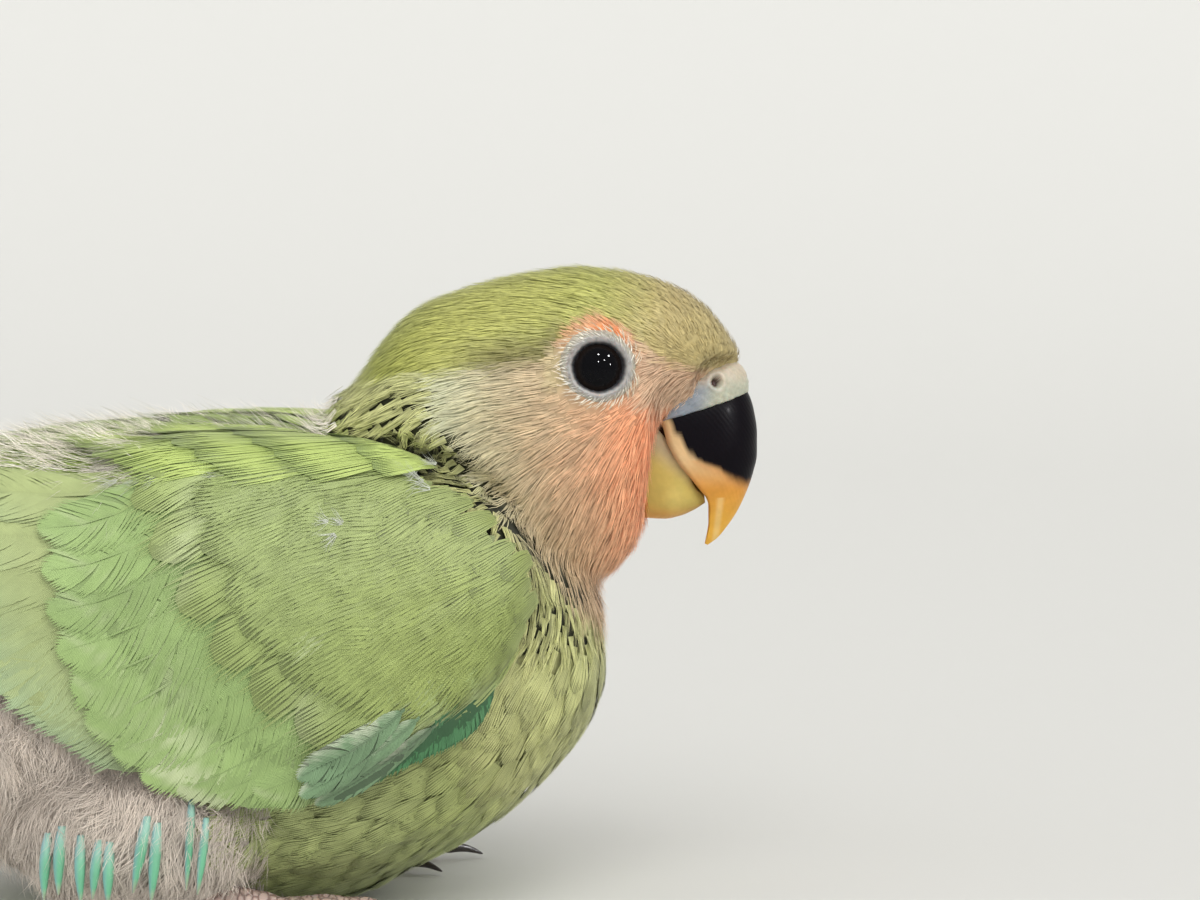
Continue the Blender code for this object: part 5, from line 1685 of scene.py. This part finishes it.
EYE_BALL, LID_SKIN = eye_material(), bare_skin_material("lid_skin", 2600.0, 0.00005)
for hand, side_name in ((-1, "right"), (1, "left")):
    centre, across, up, out = eye_frame(hand)
    select_only()
    bpy.ops.mesh.primitive_uv_sphere_add(segments=64, ring_count=40, radius=EYE_RADIUS * MM, location=centre * MM)
    ball = settle(bpy.context.object)
    points, _ = read_vertices(ball.data)
    local = points - centre
    from_axis = np.linalg.norm(local - np.outer(local @ out, out), axis=1)
    front = (local @ out) > 0
    iris = np.where(front, smoothstep(from_axis, 1.75, 2.0), 1.0)
    colours = mix((0.002, 0.002, 0.003), (0.010, 0.007, 0.006), iris)
    colours = mix(colours, (0.05, 0.05, 0.06), smoothstep(from_axis, 2.28, 2.42) * front)
    write_fields(ball, colours, unwrap(points))
    finish_piece(ball, "eye_ball_" + side_name, EYE_BALL, "eye", "eye_" + side_name)

    angle = np.linspace(0, 2 * np.pi, LID_TURNS, endpoint=False)
    fine = np.linspace(0, len(LID_PROFILE) - 1, LID_ROWS)
    profile = np.stack([np.interp(fine, np.arange(len(LID_PROFILE)), LID_PROFILE[:, k]) for k in (0, 1)], -1)
    radius = profile[:, 0][:, None] * (1 + 0.012 * np.sin(7 * angle) + 0.008 * np.sin(23 * angle + 1.0))
    rough = 0.035 * np.sin(41 * angle)[None] * np.exp(-((profile[:, 0] - 2.75) / 0.35) ** 2)[:, None]
    depth = profile[:, 1][:, None] + rough
    ring = (centre + across * (radius * np.cos(angle))[..., None]
            + up * (radius * np.sin(angle) * LID_SQUASH)[..., None] + out * depth[..., None])
    index = np.arange(LID_ROWS * LID_TURNS).reshape(LID_ROWS, LID_TURNS)
    a, b = index[:-1], np.roll(index[:-1], -1, axis=1)
    c, d = index[1:], np.roll(index[1:], -1, axis=1)
    faces = np.concatenate([np.stack([a, c, d], -1).reshape(-1, 3), np.stack([a, d, b], -1).reshape(-1, 3)])
    lid = mesh_from_arrays("lid_ring", ring.reshape(-1, 3), faces)
    points, normals = read_vertices(lid.data)
    if (normals @ out).mean() < 0:
        lid.data.flip_normals()
    at = np.repeat(profile[:, 0], LID_TURNS)
    colours = mix((0.04, 0.04, 0.045), (0.36, 0.345, 0.33), smoothstep(at, 2.45, 2.90))
    colours = mix(colours, (0.46, 0.43, 0.36), smoothstep(at, 3.0, 3.4))
    write_fields(lid, colours, unwrap(points))
    finish_piece(lid, "lid_ring_" + side_name, LID_SKIN, "cere")

# %% Tiny white feathers round the eyes
EYE_ROWS = ((2.86, 46, 0.50, 0.10, (0.42, 0.41, 0.40)), (3.05, 64, 0.60, 0.12, (0.66, 0.64, 0.60)),
            (3.25, 74, 0.75, 0.13, (0.84, 0.81, 0.72)), (3.5, 76, 0.90, 0.14, (0.86, 0.80, 0.66)),
            (3.8, 70, 1.00, 0.14, (0.80, 0.68, 0.50)))
DASH_FACES = np.array([(0, 1, 2), (0, 2, 3), (1, 4, 2), (2, 4, 3)])
rng = np.random.default_rng(51)
lid_coat = Coat("eye_ring_feathers")
for radius, count, length, thick, tone in EYE_ROWS:
    for hand in (-1, 1):
        centre, across, up, out = eye_frame(hand)
        angle = np.linspace(0, 2 * np.pi, count, endpoint=False) + rng.uniform(-0.06, 0.06, count)
        forward = np.cos(angle) * np.sign(across[0])
        reach = radius * rng.uniform(0.95, 1.05, count)
        sweep = np.where(np.sin(angle) > 0, 1.0, -1.0) * (0.75 + 0.35 * forward) * rng.uniform(0.6, 1.3, count)
        sweep = sweep * np.sign(across[0]) / reach * length
        stations = []
        for share, breadth, raised in ((0.0, 0.0, 0.05), (0.5, -1.0, 0.12), (0.5, 0.0, 0.20), (0.5, 1.0, 0.12),
                                       (1.0, 0.0, 0.10)):
            r = reach + share * length * rng.uniform(0.65, 0.8, count)
            turn = angle + share * sweep + breadth * thick / 2 / r
            flat = r[:, None] * (np.cos(turn)[:, None] * across + np.sin(turn)[:, None] * LID_SQUASH * up)
            ring_depth = line_height(LID_PROFILE, r)
            skin_place, _ = drop(centre + flat + out * 2.4)
            depth = np.maximum(ring_depth, (skin_place - centre) @ out + 0.30) + raised
            stations.append(centre + flat + out * depth[:, None])
        points = np.stack(stations, axis=1)
        tones = np.array(tone) * rng.uniform(0.72, 1.12, (count, 1))
        # Painted shading on each dash: darker at its root and along its sides, lighter on its raised middle and at
        # its tip.
        colours = tones[:, None, :] * np.array([0.75, 0.9, 1.05, 0.9, 1.05])[:, None]
        uv = patch_uv(stations[0], np.broadcast_to([0, -0.8, 0, 0.8, 0], (count, 5)),
                      np.broadcast_to([-0.9, 0, 0, 0, 0.9], (count, 5)))
        lid_coat.add(points, DASH_FACES if hand == -1 else DASH_FACES[:, ::-1], colours, uv)
lid_coat.build(SOFT_PLUMAGE, "plumage_head")

# %% [markdown]
# A few small lamps give the sparks on the wet eye. Each is placed from where its spark should lie on the eye:
# the line of sight is mirrored in the ball there, and the lamp stands along it. The lamps are kept out of the
# diffuse light, and the broad lamps out of the reflections, so that the eye stays black.

# %% Eye sparks
# right and above the eye's middle in millimetres, and the lamp's size and power
SPARKS = [(0.35, 1.31, 0.026, 0.85), (1.33, 1.20, 0.026, 0.85), (0.35, 0.61, 0.018, 0.30),
          (0.92, 0.76, 0.018, 0.30), (1.50, 0.36, 0.018, 0.30)]
SPARK_DISTANCE = 0.35
view_up = Vector((0, math.sin(CAMERA_RISE), math.cos(CAMERA_RISE)))
for number, (right, above, lamp_size, power) in enumerate(SPARKS):
    depth = math.sqrt(EYE_RADIUS**2 - right**2 - above**2)
    facing = (Vector((1, 0, 0)) * right + view_up * above + back_off * depth) / EYE_RADIUS
    mirrored_sight = 2 * facing.dot(back_off) * facing - back_off
    data = bpy.data.lights.new("spark_" + str(number), "AREA")
    data.shape, data.size, data.energy = "DISK", lamp_size, power
    spark = bpy.data.objects.new("spark_" + str(number), data)
    spark.location = Vector((EYE[0], -EYE[1], EYE[2])) * MM + mirrored_sight * SPARK_DISTANCE
    spark.rotation_euler = mirrored_sight.to_track_quat("Z", "Y").to_euler()
    spark.visible_diffuse = False
    bpy.context.scene.collection.objects.link(spark)

# %% [markdown]
# ## Feet and claws
# The feet are copies of the solids, remeshed and smoothed into rounded toes. Their scales are a pattern of
# plates that the material raises. The claws are copies too, rounded by subdivision, and get a finish like the
# bill's.

# %% Feet
def foot_material():
    """Scaly skin: rows of plates, pink on top and painted dark in the creases as shade."""
    material, tree, shader = new_material("foot_scales", 0.55, 0.4, Subsurface_Weight=0.12,
                                          Subsurface_Scale=0.0006)
    place = node(tree, "ShaderNodeTexCoord")
    stretch = node(tree, "ShaderNodeMapping")
    stretch.inputs["Scale"].default_value = (1.5, 0.7, 1.0)
    tree.links.new(place.outputs["Object"], stretch.inputs["Vector"])
    cells = node(tree, "ShaderNodeTexVoronoi", feature="DISTANCE_TO_EDGE", Scale=900.0)
    tree.links.new(stretch.outputs[0], cells.inputs["Vector"])
    plate = maths(tree, "MULTIPLY", cells.outputs["Distance"], 6.0, clamp=True)
    # The creases between the plates are painted dark, as shade.
    pink = mix_colours(tree, plate, (0.20, 0.13, 0.11), (0.50, 0.37, 0.32))
    soft = place_group(tree, MOTTLE, Color=pink, Scale=500.0, Strength=0.3)
    tree.links.new(soft.outputs["Color"], shader.inputs["Base Color"])
    bump(tree, shader, plate, 0.7, 0.00012)
    return material


FOOT_SCALES, FOOT_VOXEL = foot_material(), 0.00028
for side_name in ("right", "left"):
    foot = fuse(merged_copy("foot_" + side_name, "foot_skin_" + side_name), FOOT_VOXEL, 8)
    points, _ = read_vertices(foot.data)
    unwrap_skin(foot, points)
    finish_piece(foot, "foot_skin_" + side_name, FOOT_SCALES, "foot_skin", "foot_" + side_name)

# %% Claws
def claw_material():
    """Dark horn with a waxy gloss."""
    material, tree, shader = new_material("claw_horn", 0.35, 0.5, Coat_Weight=0.2, Coat_Roughness=0.2)
    dark = place_group(tree, MOTTLE, Color=(0.045, 0.035, 0.032), Scale=1500.0, Strength=0.5)
    tree.links.new(dark.outputs["Color"], shader.inputs["Base Color"])
    bump(tree, shader, dark.outputs["Height"], 0.2, 0.00005)
    return material


CLAW_HORN = claw_material()
for node_name in sorted(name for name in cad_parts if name.startswith("claw_")):
    claw = merged_copy(node_name, node_name + "_horn")
    refine = claw.modifiers.new("round", "SUBSURF")
    refine.levels = refine.render_levels = 2
    apply_all(claw)
    points, _ = read_vertices(claw.data)
    unwrap_skin(claw, points)
    finish_piece(claw, node_name + "_horn", CLAW_HORN, "claw", node_name)

# %% Colour the skin
# The skin is painted darker than the coat above it, and under the down darker than the down, as the shade that
# shows between the feathers.
under = markings(skin_places) * 0.84
neck_share = (in_neck(skin_places) & ~in_head(skin_places)).astype(float)
x, z = skin_places[:, 0], skin_places[:, 2]
# The skin at the rear edge of the bib is painted near black, as shade in the gaps between the tufts.
bib_gap_shade = smoothstep(-bib_distance(skin_places), -3.5, -0.5) * smoothstep(z, 29, 32)
bib_gap_shade = bib_gap_shade * (1 - smoothstep(z, 47, 51)) * smoothstep(x, 28, 33)
# The neck skin is painted near black: partly the dark bases of its feathers, partly painted shade in the gaps
# between the clumps.
under = mix(under, COLOURS["dark_bases_and_gap_shade"], np.maximum(neck_share, bib_gap_shade))
under = mix(under, COLOURS["down"] * 0.78, down_share(skin_places))
write_fields(skin, under)
unwrap_skin(skin, skin_places)
skin = finish_piece(skin, "skin", SKIN_COAT, "plumage_green", *FLESH_NODES)
